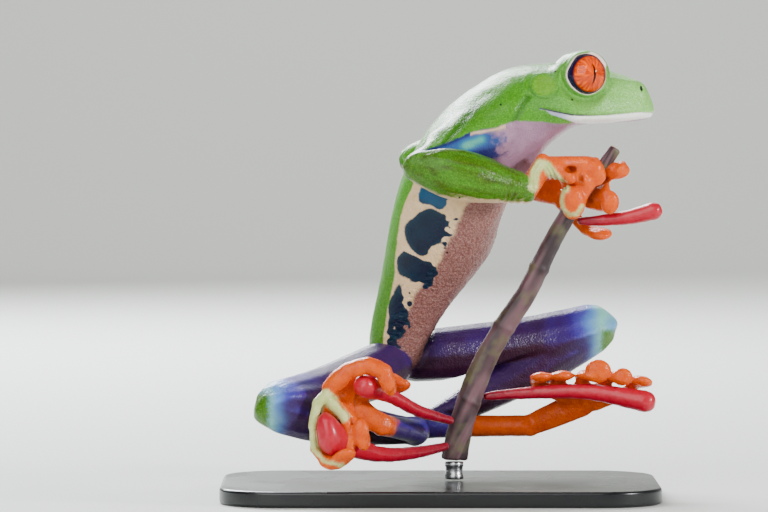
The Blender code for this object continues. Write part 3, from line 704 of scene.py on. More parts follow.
def paint(skin):
    """Marks each pigment on the skin: millimetres inside its edge, or a share from 0 to 1."""
    places, mirrored, flat = placed(skin)
    (x, y, z), side = places.T, mirrored[:, 1]
    normals, shares = skin.normals(), shares_of(skin.points)
    body, arm, hand, foot, tarsus = (shares[name] for name in ("body", "forearm", "hand", "foot", "tarsus"))
    leg = shares["thigh"] + shares["shank"] + 0.6 * tarsus
    far, turn = along_spine(places)
    turn = np.abs(turn)
    wander = 0.25 * grain(places, 2.2, 11) + 0.12 * grain(places, 0.8, 12)
    over_mouth, over_shoulder = z - line_z(MOUTH, x), z - line_z(SHOULDER_EDGE, x)
    in_mouth = (x > 15.5) & (body > 0.5)

    def inside(share):
        """Millimetres inside a part of the body, from the skin's share of it."""
        return (share - 0.5) * 2.4

    def only(where, values):
        return np.where(where, values, OUTSIDE)

    # The back: everything above the jaw's edge on the head, and above the flank's edge behind it.
    on_head = ramp(x, 11.5, 12.5) * (z > 56)
    jaw = np.where(x > 22.0, over_mouth + 0.05, z - line_z(JAW_EDGE, x))
    green = on_head * jaw + (1 - on_head) * (np.interp(far, *GREEN_EDGE.T) - turn) * ROUND
    outward = normals[:, 1] * np.sign(y)
    over_arm = ramp(side, 3.5, 5.0) * (1 - ramp(x, 11.4, 12.4)) * ramp(z, 53, 55.5) * (far < 22)
    over_arm *= ramp(outward, 0.3, 0.55)
    green = over_arm * over_shoulder + (1 - over_arm) * green
    green = np.minimum(green + wander * 0.5, inside(body + shares["upper_arm"]) + 0.4)
    under, inner = (normals[:, 2] + 0.84) * 2.2, (outward + 0.55) * 2.2
    green = np.maximum(green, np.min([inside(arm), under, inner], axis=0) + 0.4 * wander)

    # The green on the legs' outer sides and over the tips of the knees, its edge three times as soft.
    outer = 0
    for name, facing in ((RIGHT, (-0.86, 0.0, -0.5)), (LEFT, (0.1, 0.92, 0.38))):
        part = sum(shares[f"{limb}_{name}"] for limb in ("thigh", "shank", "tarsus"))
        outer = outer + part * (normals @ np.array(facing))
    tip = KNEE_END + np.where(y < 0, x, -x)  # mm in from the end of each knee
    cap = np.minimum(2.6 - tip, np.where(y < 0, 19.9, 27.5) - z) + 1.2 * wander
    shin = 0.3 * np.maximum((outer - 0.56) * 3.2 + 0.5 * wander, cap)
    green = np.maximum(green, np.minimum(shin, inside(leg + tarsus)))

    # The green and cream ridge along the outer finger and the outer toe, and at the tips of the elbows.
    ridge = np.maximum(0.8 - from_line(flat, OUTER_FINGER), 0.32 - from_line(flat, PAD_RIM))
    ridge = np.minimum(only(y < FINGER_Y, ridge), inside(hand + arm))
    toe = 0.95 - from_line(flat, OUTER_TOE) + 1.2 * wander - 0.7 * ramp(12.5 - z, 0, 3.5)
    toe = np.minimum(only(y < -10, toe), inside(foot))
    outer_edge = np.max([ridge, toe] + [0.6 - from_point(places, elbow) for elbow in ELBOW_TIPS], axis=0)

    at = np.stack([far + 0.9 * grain(places, 2.6, 51), turn * ROUND + 0.9 * grain(places, 2.6, 52)], 1)
    navy = np.max([in_outline(at, rounded(np.array(patch) * (1, ROUND))) for patch in PATCHES], axis=0) + 0.25
    lace = ramp(turn, 92, 112) * ramp(far, 22, 26)
    navy += 0.5 * wander + lace * (1.6 * grain(places, 0.8, 53) + 1.1 * grain(places, 1.8, 54) - 0.3)
    cream = np.minimum(np.minimum(118 - turn, 10) * ROUND, (far - 18.5)) + 2.2 * wander
    cream = np.maximum(np.minimum(cream, inside(body) + 0.4), inside(arm))
    hem = 0.3 - np.abs(over_shoulder + 0.25) + 0.4 * wander
    cream = np.maximum(cream, only((x > 4.6) & (x < 10.4) & (side > 5), hem))

    # The hue runs from the knee's pale teal (0) by violet to brown (0.72), then by navy to the teal (1) of the
    # painted highlight on the upper arm.
    sleeve = 0.5 * (9.3 - x) + 2.6 * wander + 0.5 * grain(places, 0.6, 55)
    on_arm = np.minimum(inside(shares["upper_arm"]) + 0.7, sleeve)
    on_arm = np.where((x > 4.6) & (x < 10.0), np.minimum(on_arm, -2.0 * hem), on_arm)
    blue = np.maximum(inside(np.clip(leg + tarsus, 0, 1)) + wander, on_arm)
    # The upper arm: its own blue, with a painted teal highlight along its top, and painted shade that turns it
    # navy just under the shoulder's edge and on its lower side.
    arm_hue = 0.84 + 0.15 * near(from_line(flat, [(4.0, 58.1), (6.4, 59.1)]), 0, 0.85)
    arm_hue += 0.04 * near(from_line(flat, [(0.5, 57.2), (4.5, 58.2)]), 0, 0.8)
    arm_hue -= 0.05 * ramp(-over_shoulder - 2.3, 0, 1.2) + 0.06 * ramp(over_shoulder, -0.7, -0.2)
    shade = np.interp(tip + 1.5 * wander, *LEG_SHADES) + 0.06 * grain(places, 2.6, 21)
    shade += (0.3 - shade) * np.clip(tarsus, 0, 1)
    heel = from_point(mirrored, HEEL)
    grasp = np.clip(hand + foot + tarsus * ramp(heel, 5.0, 12.0), 0, 1)

    lid = OUTSIDE
    for name, sign in SIDES.items():
        ahead, out, rise = (skin.points - EYE[name]).T
        forward = (0.62 * ahead + 0.78 * rise) / np.maximum(np.hypot(ahead, rise), 0.1)
        # The pale edge is broadest behind the eye and over its front.
        pale = 0.17 + 0.13 * ramp(-ahead, 0.5, 2.6) + 0.5 * near(forward, 1, 0.13)
        away = from_point(skin.points, EYE[name])
        lid = np.maximum(lid, only(out * sign > lid_height(ahead, rise) - 0.6, EYE_RADIUS + pale - away))

    speck = np.max([0.17 - from_point(flat, spot) for spot in SPECKS], axis=0)
    # The nostrils take the specks' near-black too: painted shade in their openings.
    speck = np.maximum(only(y < -2.5, speck), 0.5 - from_point(mirrored, NOSTRIL, NOSTRIL_SHAPE))
    parting = 0.12 - 0.12 * ramp(x, 20, 28.5) - np.abs(over_mouth)
    edges = dict(
        green=green, outer_edge=outer_edge, navy=np.minimum(navy, inside(body) + 0.4), cream=cream, blue=blue,
        lip=only(in_mouth, np.minimum(-over_mouth, z - line_z(LIP_EDGE, x))), lid=lid, speck=speck,
        orange=only((grasp > 0.38) | (tarsus > 0.5), inside(grasp) + 0.3 + 2 * wander),
        parting=only(in_mouth & (z > 60), parting),
    )
    for name, values in edges.items():
        keep(skin.mesh, name, np.clip(values, -3, 3))

    streaks = arm * (0.85 + 0.5 * forearm_streaks(mirrored))
    # Darker olive: the forearms' and legs' own colour; down the flanks behind the head, partly own colour and
    # partly painted shade.
    olive = streaks + 0.8 * np.clip(leg, 0, 1) + 0.35 * ramp(turn, 30, 80) * body * ramp(far, 9, 14)
    outside, drum = ramp(side, 4, 5.5) * body, drum_reach(x, z)
    # Painted shade: darker green along the creases behind the jaw and over the shoulder, in a thin arc under the
    # eardrum's rim and round the lower half of the eye.
    folds = np.max([near(from_line(flat, fold), 0, 0.5) for fold in (JAW_CREASE, SHOULDER_CREASE[:-1])], axis=0)
    drum_rim_shade = 0.8 * near(drum, 1.14, 0.06) * outside * ramp(DRUM[1] - z, -0.8, 0.6)
    eye_ring_shade = near(np.hypot(x - EYE_X, z - EYE_Z + RISE), 4.35, 0.35) * outside * ramp(69.0 - z, 0, 2)
    # Painted shade: the legs turn dark brown-purple where they face down.
    leg_below = ramp(-normals[:, 2] + 0.3 * wander, -0.25, 0.25)
    marks = dict(
        hue=np.clip(np.where(shares["upper_arm"] > leg, arm_hue, shade), 0, 1),
        throat=ramp(-far, -19, -13),
        under_leg=leg_below * ramp(tip, 1.5, 6.0) * np.clip(leg, 0, 1),
        # painted shade: dark red-brown in the clefts between the fingers
        cleft=np.max([near(from_point(places, middle, half), 0, 1.05) for middle, half in HOLLOWS], axis=0),
        bluish=1 - ramp(far, 23.6, 25.4),
        # paler green toward the snout: partly the head's own lighter green, partly a painted sheen
        pale=ramp(x, 13, 30) * body * (0.75 + 0.25 * ramp(x, 26, 33)),
        olive=np.clip(olive, 0, 1.3),
        drum=(1 - ramp(drum, 0.75, 1.0)) * outside,
        shaded=np.max([folds * ramp(side, 3, 5), drum_rim_shade, 0.6 * eye_ring_shade], axis=0),
        lip_front=ramp(x, 18.5, 22.5),
        granular=granular(body, far, turn),
    )
    for name, values in marks.items():
        keep(skin.mesh, name, values)


# ---------------------------------------------------------------- colours and nodes

def linear(code):
    """An sRGB hex colour as linear red, green, blue and full alpha."""
    shares = [int(code[i:i + 2], 16) / 255 for i in (1, 3, 5)]
    return tuple(s / 12.92 if s <= 0.04045 else ((s + 0.055) / 1.055) ** 2.4 for s in shares) + (1.0,)


def per_mm(size):
    """A pattern's scale for features of a size in millimetres, in coordinates of metres."""
    return 1 / (size * MM)


# The output that is taken from a node that has several.
OUTPUT = {"TexCoord": "Object", "Attribute": "Fac", "TexNoise": "Fac", "TexVoronoi": "Distance", "Mix": 2}
SMOOTH = dict(interpolation_type="SMOOTHSTEP")


def new_material(name):
    """For a new material, the function that adds a node and the one that finishes it."""
    made = bpy.data.materials.new(name)
    made.use_nodes = True
    tree = made.node_tree
    tree.nodes.clear()

    def add(kind, settings=None, **sockets):
        """Adds a node and gives its output. Settings go on the node, and each socket, named or numbered, takes a
        value, a hex colour or another node's output."""
        node = tree.nodes.new("ShaderNode" + kind)
        for key, value in (settings or {}).items():
            setattr(node, key, value)
        for key, value in sockets.items():
            socket = node.inputs[int(key[1:])] if key[1:].isdigit() else node.inputs[key.replace("_", " ")]
            if isinstance(value, bpy.types.NodeSocket):
                tree.links.new(value, socket)
            else:
                socket.default_value = linear(value) if isinstance(value, str) else value
        return node.outputs[OUTPUT.get(kind, 0)] if node.outputs else None

    def finish(**sockets):
        """Gives the material its surface."""
        add("OutputMaterial", Surface=add("BsdfPrincipled", **sockets))
        return made

    return add, finish


def coats(add, under, *layers):
    """Coats of pigment, each over the ones before: where it lies, its colour and, if thin, its strength."""
    for share, over, *thin in layers:
        if thin:
            share = add("Math", dict(operation="MULTIPLY"), _0=share, _1=thin[0])
        under = add("Mix", dict(data_type="RGBA"), _0=share, _6=under, _7=over)
    return under


# How soft and how ragged each marking's edge is, in millimetres.
EDGES = dict(
    cream=(0.5, 0.5), navy=(0.16, 0.16), blue=(0.6, 0.5), orange=(0.4, 0.3), green=(0.22, 0.2),
    outer_edge=(0.35, 0.3), lip=(0.12, 0.08), parting=(0.06, 0.03), lid=(0.1, 0.04), speck=(0.08, 0.03),
)
HUES = [
    (0.0, "#86CFC4"), (0.12, "#5E96DC"), (0.24, "#4848AC"), (0.38, "#32187C"), (0.52, "#300F44"),
    (0.72, "#2A0E16"), (0.78, "#1A1A58"), (0.86, "#24508E"), (0.93, "#2E7C98"), (1.0, "#50AC94"),
]


def frog_skin_material(mesh):
    """Moist amphibian skin: finely grained, with a clear wet film that gives a broad soft gloss, and light that
    sinks in a little."""
    add, finish = new_material("moist_frog_skin")
    place = add("TexCoord")
    fine, broad, patchy = (
        add("TexNoise", Vector=place, Scale=per_mm(size), Detail=detail, Roughness=0.55)
        for size, detail in ((0.35, 3.0), (1.4, 3.0), (4.5, 2.0))
    )
    granules = add("TexVoronoi", Vector=place, Scale=per_mm(0.3))
    # Painted light on the fine granules: shade between them (between) and sheen on their tops (beads).
    between = add("MapRange", Value=granules, From_Min=0.15, From_Max=0.65)
    beads = add("MapRange", Value=granules, From_Min=0.5, From_Max=0.1)
    kept = [layer.name for layer in mesh.attributes if layer.data_type == "FLOAT"]
    mark = {name: add("Attribute", dict(attribute_name=name)) for name in kept}
    edge = {}
    for name, (soft, ragged) in EDGES.items():
        uneven = add("Math", dict(operation="SUBTRACT"), _0=fine, _1=0.5)
        shifted = add("Math", dict(operation="MULTIPLY_ADD"), _0=uneven, _1=ragged * 2, _2=mark[name])
        edge[name] = add("MapRange", SMOOTH, Value=shifted, From_Min=-soft, From_Max=soft)

    def pigment(one, other, share=broad):
        """A colour that wanders between two."""
        return coats(add, one, (share, other))

    deep = add("MapRange", Value=patchy, From_Min=0.42, From_Max=0.66)
    core = add("MapRange", Value=mark["navy"], From_Min=0.3, From_Max=1.5)
    ink = coats(add, "#052838", (core, "#010420"), (deep, "#052E42", 0.35), (mark["bluish"], "#1C567C", 0.8))
    hues = add("ValToRGB", Fac=mark["hue"])
    stops = hues.node.color_ramp.elements
    stops.remove(stops[1])
    stops[0].color = linear(HUES[0][1])
    for position, code in HUES[1:]:
        stops.new(position).color = linear(code)
    # the legs' downward faces get painted shade in brown-purple
    dusky = coats(add, hues, (broad, "#4A3880", 0.25), (mark["under_leg"], pigment("#240A14", "#34141C")))
    # Random speckle in the greens, lighter on the granules' tops as a painted sheen.
    speckle_and_granule_sheen = add("Math", dict(operation="SUBTRACT"), _0=fine, _1=0.25)
    speckle_and_granule_sheen = add("Math", dict(operation="MULTIPLY_ADD"), _0=beads, _1=0.5, _2=speckle_and_granule_sheen)
    green = coats(
        add, pigment("#357E08", "#66B42C", speckle_and_granule_sheen),
        # paler toward the snout: partly own colour, partly a painted sheen
        (mark["pale"], pigment("#82C858", "#BEF0A2", speckle_and_granule_sheen)),
        # darker olive: own colour on the limbs, partly painted shade on the flanks
        (mark["olive"], pigment("#2A4004", "#5A780C", speckle_and_granule_sheen)),
        # painted shade in the creases, under the eardrum's rim and round the eye
        (mark["shaded"], "#1E4A06", 0.6),
        (mark["drum"], pigment("#74A81C", "#9CCB3A"), 0.45),
    )
    colour = coats(
        # the belly's own pink, darker between the fine granules as painted shade
        add, pigment("#A2796F", "#80524A", between),
        (mark["throat"], pigment("#8E6680", "#A88299")),
        (edge["cream"], pigment("#D0AA74", "#F0D6B0")),
        (edge["navy"], ink),
        (edge["blue"], dusky),
        # the orange turns dark red-brown in the finger clefts: painted shade
        (edge["orange"], coats(add, pigment("#C03400", "#F26800"), (mark["cleft"], "#420602"))),
        (edge["green"], green),
        (edge["outer_edge"], pigment("#9CB84C", "#E6E2A8")),
        (edge["lip"], coats(add, "#A8A6C0", (mark["lip_front"], pigment("#FBF4EC", "#FFFEFA")))),
        (edge["parting"], "#4C4850"),
        (edge["lid"], "#F4DCD6"),
        # near-black specks, and painted shade in the nostrils
        (edge["speck"], "#0F160E"),
    )

    raised = add("Math", dict(operation="SUBTRACT"), _0=0.6, _1=granules)
    height = add("Math", dict(operation="ADD"), _0=mark["granular"], _1=0.8)  # more on the belly
    relief = add("Math", dict(operation="MULTIPLY_ADD"), _0=raised, _1=height, _2=fine)
    rough = add("MapRange", Value=fine, From_Min=0.3, From_Max=0.7, To_Min=0.36, To_Max=0.5)
    # Hands and feet are wetter.
    rough = add("Math", dict(operation="MULTIPLY_ADD"), _0=edge["orange"], _1=-0.14, _2=rough)
    return finish(
        Base_Color=colour, Roughness=rough, IOR=1.34, Specular_IOR_Level=0.3,
        Subsurface_Weight=0.12, Subsurface_Radius=(1.0, 0.6, 0.3), Subsurface_Scale=0.6 * MM,
        Coat_Weight=0.3, Coat_Roughness=0.16, Coat_IOR=1.35,
        Normal=add("Bump", Strength=0.9, Distance=0.07 * MM, Height=relief),
        Coat_Normal=add("Bump", Strength=0.7, Distance=0.06 * MM, Height=relief),
    )


def put(mesh, material, slot, *replaced, place=(0, 0, 0)):
    """Sets a finished piece on the model, in place of the solids that it stands for."""
    piece = bpy.data.objects.new(mesh.name, mesh)
    mesh.materials.append(material)
    piece.location = place
    bpy.context.scene.collection.objects.link(piece)
    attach(piece, "root")
    if replaced:
        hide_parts(*replaced)
    return piece


field = shape_digits(shape_eyes_and_shoulders(flesh_field()))
rings = [lid_ring(side) for side in SIDES]
skin = Skin(surface("frog_skin", field, extra=rings))
skin.lids -= sum(len(places) for places, _ in rings)
sculpt(skin)
paint(skin)
skin.store()
put(skin.mesh, frog_skin_material(skin.mesh), "frog_skin", *FLESH)


# ---------------------------------------------------------------- eyes

BALL = 0.9 * EYE_RADIUS  # mm, the coloured ball under the clear front of the eye
IRIS_REACH = 66.0  # degrees from the way the eye looks to the iris's edge
PUPIL_REACH, PUPIL_WIDE = 1.75, 0.2  # mm, half the slit's length and width
GAZE_TURN = math.radians(24)  # how far forward each eye looks
GAZE = {
    side: Vector((math.sin(GAZE_TURN), sign * math.cos(GAZE_TURN), 0.03)).normalized()
    for side, sign in SIDES.items()
}


def ball_mesh(name, gaze, radius_at, rings=110, turns=144):
    """A ball whose pole looks along gaze, and its places as they would be with the pole on top and radius 1."""
    up = (Vector((0, 0, 1)) - gaze * gaze.z).normalized()
    ahead = (Vector((1, 0, 0)) - gaze * gaze.x - up * up.x).normalized()
    basis = np.array([ahead, up, gaze])
    polar, around = np.meshgrid(
        math.pi * np.arange(1, rings) / rings, 2 * math.pi * np.arange(turns) / turns, indexing="ij"
    )
    rows = np.stack([np.sin(polar) * np.cos(around), np.sin(polar) * np.sin(around), np.cos(polar)], -1)
    local = np.vstack([[0, 0, 1], rows.reshape(-1, 3), [0, 0, -1]])
    end = len(local) - 1
    faces = [(0, 1 + (i + 1) % turns, 1 + i) for i in range(turns)] + loops(rings - 2, turns, first=1)
    faces += [(end, end - turns + i, end - turns + (i + 1) % turns) for i in range(turns)]
    if np.linalg.det(basis) > 0:
        faces = [face[::-1] for face in faces]
    mesh = mesh_of(name, local * radius_at(local)[:, None] @ basis, faces)
    mesh.validate()
    return mesh, local


def polar_angle(local):
    """Degrees from the way the eye looks."""
    return np.degrees(np.arccos(np.clip(local[:, 2], -1, 1)))


def pupil_inside(local):
    """Millimetres inside the upright slit of the pupil, thinning to its ends."""
    share = np.clip(np.abs(local[:, 1]) * BALL / PUPIL_REACH, 0, 1)
    bowed = 0.26 * (1 - share ** 2) - 0.02
    inside = PUPIL_WIDE * (1 - share ** 2) ** 0.6 - np.abs(local[:, 0] * BALL - bowed)
    return np.where((local[:, 2] > 0) & (share < 1), inside, -0.3)


def eyeball_radius(local):
    """A dark globe with the iris dished a little into it and the pupil sunk in the iris."""
    polar = polar_angle(local)
    dish = 1 - ramp(polar, 40, IRIS_REACH)
    pit = ramp(pupil_inside(local), -0.05, 0.1)
    return BALL - 0.16 * dish - 0.3 * pit + 0.05 * near(polar, IRIS_REACH + 2, 3)


def cornea_radius(local):
    return np.full(len(local), EYE_RADIUS - 0.02)


def iris_material():
    """Frog's iris: layered orange pigment with fine radial threads, a black slit and a blue-black globe."""
    add, finish = new_material("orange_iris")
    spread, ring, pupil = (
        add("Attribute", dict(attribute_name=name)) for name in ("iris_spread", "iris_ring", "pupil")
    )
    spread = spread.node.outputs["Vector"]
    threads = add("TexNoise", Vector=spread, Scale=9.0, Detail=4.0, Roughness=0.6)
    clouds = add("TexNoise", Vector=spread, Scale=2.2, Detail=2.0)
    colour = "#982600"
    for value, low, high, over in (
        (threads, 0.35, 0.68, "#D84800"), (clouds, 0.45, 0.7, "#EE6000"), (ring, 0.88, 0.99, "#8A2400"),
        (ring, 0.97, 1.02, "#120E34"), (pupil, -0.02, 0.03, "#050406"),
    ):
        colour = coats(add, colour, (add("MapRange", SMOOTH, Value=value, From_Min=low, From_Max=high), over))
    bump = add("Bump", Strength=0.4, Distance=0.05 * MM, Height=threads)
    return finish(Base_Color=colour, Roughness=0.42, IOR=1.38, Specular_IOR_Level=0.0, Normal=bump)


def cornea_material():
    """Wet cornea: perfectly clear and smooth, so lights show on it as small sharp points over the deep iris."""
    add, finish = new_material("wet_cornea")
    ripple = add("TexNoise", Vector=add("TexCoord"), Scale=per_mm(2.5), Detail=1.0)
    bump = add("Bump", Strength=0.12, Distance=0.02 * MM, Height=ripple)
    return finish(
        Base_Color="#FFFFFF", Roughness=0.0, IOR=1.36, Transmission_Weight=1.0, Normal=bump
    )


iris, cornea = iris_material(), cornea_material()
for side in SIDES:
    mesh, local = ball_mesh(f"eyeball_{side}", GAZE[side], eyeball_radius)
    out = polar_angle(local) / IRIS_REACH
    around = np.arctan2(local[:, 1], local[:, 0])
    keep(mesh, "iris_ring", out)
    keep(mesh, "pupil", pupil_inside(local))
    keep(mesh, "iris_spread", np.stack([2.4 * np.cos(around), 2.4 * np.sin(around), 0.7 * out], 1))
    put(mesh, iris, "eye", place=Vector(EYE[side]) * MM)
    clear_mesh, _ = ball_mesh(f"cornea_{side}", GAZE[side], cornea_radius, 56, 96)
    clear = put(clear_mesh, cornea, "eye", f"eye_{side}", place=Vector(EYE[side]) * MM)
    clear.visible_shadow = False


# ---------------------------------------------------------------- the cut stem and its flower tubes

def grown(name, rounding, relief):
    """A smooth mesh drawn round one solid of the perch, with its fine relief."""
    block = Block(SOLIDS[name][0])
    skin = Skin(surface(name + "_grown", soften(from_solid(name, block), rounding), block.first))
    skin.even(4)
    relief(skin)
    skin.store()
    return skin.mesh


STEM_FOOT, STEM_TIP = np.array((2.3, 0.0, 7.6 + RISE)), np.array((28.2, 0.0, 57.6 + RISE))
LEAF_RINGS = (16, 29, 40, 50)  # mm along the stem
BUD = (-17.4, 13.2)  # the middle of the bud that the near foot holds: x and z


def stem_relief(skin):
    """Lengthwise wrinkles and rings where leaves sat, with both ends cut clean."""
    x, y, z = skin.points.T
    along = skin.points @ ((STEM_TIP - STEM_FOOT) / np.linalg.norm(STEM_TIP - STEM_FOOT))
    around = np.arctan2(y, x - np.interp(z, (STEM_FOOT[2], STEM_TIP[2]), (STEM_FOOT[0], STEM_TIP[0])))
    wrinkle = grain(np.stack([2.2 * np.cos(around), 2.2 * np.sin(around), along * 0.12], 1), 0.45, 31)
    height = 0.10 * wrinkle + 0.06 * grain(skin.points, 1.1, 32)
    height += 0.16 * sum(near(along, ring, 0.5) for ring in LEAF_RINGS)
    skin.push(height * 0.8)
    keep(skin.mesh, "cut_end", np.maximum(near(z, z.min(), 0.25), near(along, along.max(), 0.25)))
    keep(skin.mesh, "wrinkle", wrinkle)


def tube_relief(skin):
    """Faint ridges along the tube, a blunt tip on the bud, and how far each place is from the stem."""
    axis = np.linalg.svd(skin.points - skin.points.mean(0), full_matrices=False)[2][0]
    along = (skin.points - skin.points.mean(0)) @ axis
    from_stem = from_point(skin.points, (STEM_FOOT + STEM_TIP) / 2)
    if from_stem[np.argmax(along)] < from_stem[np.argmin(along)]:
        along = -along
    skin.push(0.05 * grain(skin.points, 1.3, 41) + 0.03 * grain(skin.points, 0.5, 42))
    if skin.points[:, 0].min() < BUD[0] - 0.6:
        end = ramp(-skin.points[:, 0], 13.5, 15.5)
        rise = skin.points[:, 2] - (BUD[1] + RISE)
        skin.points[:, 2] += end * np.where(rise > 0, 0.7, 0.25) * rise
        skin.points[:, 0] -= end * (0.3 * np.clip(rise, 0, None) + 0.1 * (skin.points[:, 0] - BUD[0]))
    keep(skin.mesh, "share", (along - along.min()) / (along.max() - along.min()))


def stem_material():
    """Half-woody flower stem: wrinkled purple-brown bark with a dull waxy bloom and pale pith on the cuts."""
    add, finish = new_material("half_woody_stem")
    place = add("TexCoord")
    fine = add("TexNoise", Vector=place, Scale=per_mm(0.3), Detail=4.0)
    broad = add("TexNoise", Vector=place, Scale=per_mm(3.5), Detail=2.0)
    wrinkle, ends = (add("Attribute", dict(attribute_name=name)) for name in ("wrinkle", "cut_end"))
    colour = "#2C1A20"
    for value, low, high, over in (
        (wrinkle, -0.5, 0.6, "#6A4A50"), (broad, 0.5, 0.7, "#5E5A3A"), (ends, 0.55, 0.8, "#C9B48C"),
    ):
        colour = coats(add, colour, (add("MapRange", Value=value, From_Min=low, From_Max=high), over))
    return finish(
        Base_Color=colour, Roughness=0.55, IOR=1.45, Coat_Weight=0.12, Coat_Roughness=0.35,
        Normal=add("Bump", Strength=0.6, Distance=0.08 * MM, Height=fine),
    )


def tube_material():
    """Waxy flower tube: saturated crimson flesh with a glossy cuticle, deeper red toward the joint."""
    add, finish = new_material("waxy_flower_tube")
    fine = add("TexNoise", Vector=add("TexCoord"), Scale=per_mm(0.5), Detail=3.0)
    far = add("MapRange", Value=add("Attribute", dict(attribute_name="share")), From_Min=0.1, From_Max=0.6)
    mottled = add("MapRange", Value=fine, From_Min=0.35, From_Max=0.75, To_Max=0.5)
    return finish(
        Base_Color=coats(add, "#7A0420", (far, "#B40224"), (mottled, "#CC1438")),
        Roughness=0.38, IOR=1.4, Subsurface_Weight=0.15, Subsurface_Radius=(1.0, 0.25, 0.2),
        Subsurface_Scale=0.7 * MM, Coat_Weight=0.25, Coat_Roughness=0.1,
        Normal=add("Bump", Strength=0.4, Distance=0.05 * MM, Height=fine),
    )


put(grown("perch_stem", 0.2, stem_relief), stem_material(), "stem", "perch_stem")
crimson = tube_material()
for name in TUBES:
    put(grown(name, 0.3, tube_relief), crimson, "flower_tube", name)


# ---------------------------------------------------------------- the stand

def lofted(name, rows):
    """A closed piece drawn through rows of places, with both ends capped."""
    turns, last = len(rows[0]), (len(rows) - 1) * len(rows[0])
    caps = [tuple(range(turns))[::-1], tuple(range(last, last + turns))]
    return mesh_of(name, np.vstack(rows), loops(len(rows) - 1, turns) + caps)


def slab_rows(low, high, corner, edge):
    """Rows up a flat slab with round corners and softly eased edges."""
    ends = low + corner, high - corner
    outline = [
        (right, back, math.radians(start + 90 * step / 12))
        for right, back, start in ((1, 1, 0), (0, 1, 90), (0, 0, 180), (1, 0, 270)) for step in range(13)
    ]
    eased = [(edge, 0.0)]
    eased += [(edge * (1 - math.sin(a)), edge * (1 - math.cos(a))) for a in map(math.radians, (30, 60, 90))]
    eased += [(inset, high[2] - low[2] - rise) for inset, rise in reversed(eased)]
    rows = []
    for inset, rise in eased:
        r, z = corner - inset, low[2] + rise
        rows.append([(ends[i][0] + r * math.cos(a), ends[j][1] + r * math.sin(a), z) for i, j, a in outline])
    return rows


def pin_rows(low, high, turns=64):
    """Rows up a pin turned on a lathe, with eased ends and a neck between two collars."""
    middle, radius = (low + high) / 2, (high[0] - low[0]) / 2
    profile = [(0.1, 0.0), (0.0, 0.1), (0.0, 0.7), (0.12, 0.85)]  # mm in from the full radius, and from the end
    profile = [(radius - inset, low[2] + rise) for inset, rise in profile] + [
        (radius - inset, high[2] - rise) for inset, rise in reversed(profile)
    ]
    circle = [2 * math.pi * i / turns for i in range(turns)]
    return [[(middle[0] + r * math.cos(a), middle[1] + r * math.sin(a), z) for a in circle] for r, z in profile]


def acrylic_material():
    """Cast black acrylic, satin finished: deep black that carries soft reflections and a trace of fine dust."""
    add, finish = new_material("satin_black_acrylic")
    place = add("TexCoord")
    dust = add("TexNoise", Vector=place, Scale=per_mm(0.25), Detail=4.0, Roughness=0.7)
    wipe = add("TexNoise", Vector=place, Scale=per_mm(14.0), Detail=2.0)
    dusty = add("MapRange", Value=dust, From_Min=0.6, From_Max=0.8, To_Max=0.35)
    rough = add("MapRange", Value=wipe, From_Min=0.3, From_Max=0.7, To_Min=0.2, To_Max=0.34)
    colour = coats(add, "#131417", (dusty, "#3A3B3E"))
    return finish(Base_Color=colour, Roughness=rough, IOR=1.49)


def steel_material():
    """Turned stainless steel: fine rings from the lathe that stretch the highlights round the pin."""
    add, finish = new_material("turned_stainless_steel")
    stretched = add("Mapping", Vector=add("TexCoord"), Scale=(1.0, 1.0, 40.0))
    rings = add("TexNoise", Vector=stretched, Scale=per_mm(4.0), Detail=3.0)
    rough = add("MapRange", Value=rings, From_Min=0.3, From_Max=0.7, To_Min=0.22, To_Max=0.36)
    bump = add("Bump", Strength=0.3, Distance=0.02 * MM, Height=rings)
    colour = coats(add, "#8E9094", (rings, "#D2D3D6"))
    return finish(Base_Color=colour, Metallic=1.0, Roughness=rough, Normal=bump)


CORNER, EASED = 10.0, 0.5  # mm, the base plate's round corners and eased edges
plate = lofted("stand_plate", slab_rows(*(np.array(end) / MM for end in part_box("stand_base")), CORNER, EASED))
pin = lofted("stand_pin", pin_rows(*(np.array(end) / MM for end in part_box("stand_rod"))))
for mesh, material, node in ((plate, acrylic_material(), "stand_base"), (pin, steel_material(), "stand_rod")):
    piece = put(mesh, material, node, node)
    piece.modifiers.new("crisp", "WEIGHTED_NORMAL").keep_sharp = True


# ---------------------------------------------------------------- floor, camera and light

def floor_material():
    """Matt pale paper: even and quiet, with the slightest tooth."""
    add, finish = new_material("pale_paper")
    tooth = add("TexNoise", Vector=add("TexCoord"), Scale=per_mm(0.6), Detail=3.0)
    colour = coats(add, "#CFD2CC", (tooth, "#DADDD7"))
    return finish(Base_Color=colour, Roughness=0.8, IOR=1.45)


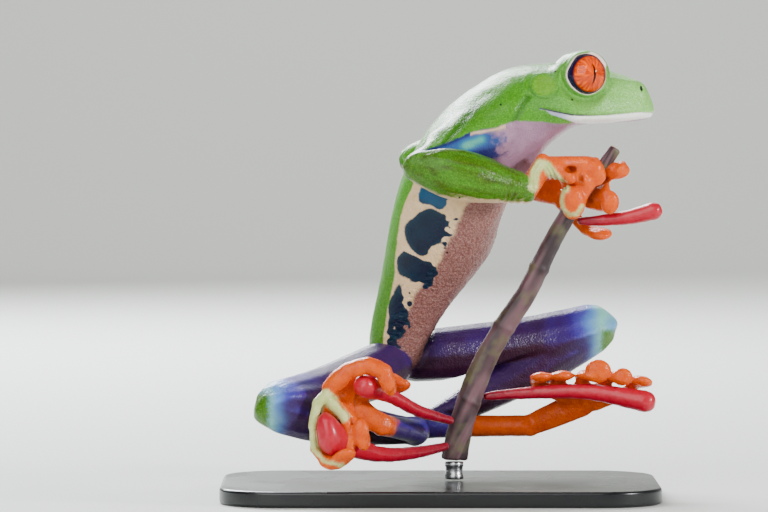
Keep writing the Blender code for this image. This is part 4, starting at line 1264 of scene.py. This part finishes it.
scene = bpy.context.scene
BEND = 500.0  # mm, the radius of the paper's sweep up behind the stand
bends = [math.radians(a) for a in range(10, 91, 10)]
sweep = [(-1200, 0), (1000, 0)] + [(1000 + BEND * math.sin(a), BEND - BEND * math.cos(a)) for a in bends]
sweep.append((1000 + BEND, 1600))
strips = [(2 * i, 2 * i + 1, 2 * i + 3, 2 * i + 2) for i in range(len(sweep) - 1)]
floor_mesh = mesh_of("floor", [(x, y, z) for y, z in sweep for x in (-2500, 2500)], strips)
floor_mesh.materials.append(floor_material())
floor = bpy.data.objects.new("floor", floor_mesh)
scene.collection.objects.link(floor)

TARGET = Vector((-8.96, 0.0, 40.3 + RISE)) * MM
DISTANCE = 0.8
ELEVATION = math.radians(2.0)
camera_data = bpy.data.cameras.new("camera")
camera_data.lens = 234
camera_data.clip_start = 0.05
camera = bpy.data.objects.new("camera", camera_data)
camera.location = TARGET + Vector((0, -math.cos(ELEVATION), math.sin(ELEVATION))) * DISTANCE
camera.rotation_euler = (math.radians(90) - ELEVATION, 0, 0)
scene.collection.objects.link(camera)
scene.camera = camera


def soft_light(name, place, size, power, tint="#FFFFFF", aim=TARGET):
    """A square soft box, aimed at the frog unless told otherwise: place and size in metres."""
    data = bpy.data.lights.new(name, "AREA")
    data.size = size
    data.energy = power
    data.color = linear(tint)[:3]
    light = bpy.data.objects.new(name, data)
    light.location = place
    light.rotation_euler = (Vector(aim) - Vector(place)).to_track_quat("-Z", "Y").to_euler()
    scene.collection.objects.link(light)


soft_light("sky", (-0.22, 0.50, 0.42), 0.36, 13.5, "#F6FAFF")
soft_light("key", (-0.24, -0.52, 0.34), 0.6, 4.6)
soft_light("fill", (0.52, -0.28, 0.21), 0.10, 3.6)
soft_light("backdrop", (0.0, 1.15, 0.9), 0.8, 9.0, aim=(0.0, 1.25, 0.0))
world = bpy.data.worlds.new("studio")
world.use_nodes = True
background = world.node_tree.nodes["Background"]
background.inputs["Color"].default_value = linear("#C9CFC8")
background.inputs["Strength"].default_value = 0.22
scene.world = world
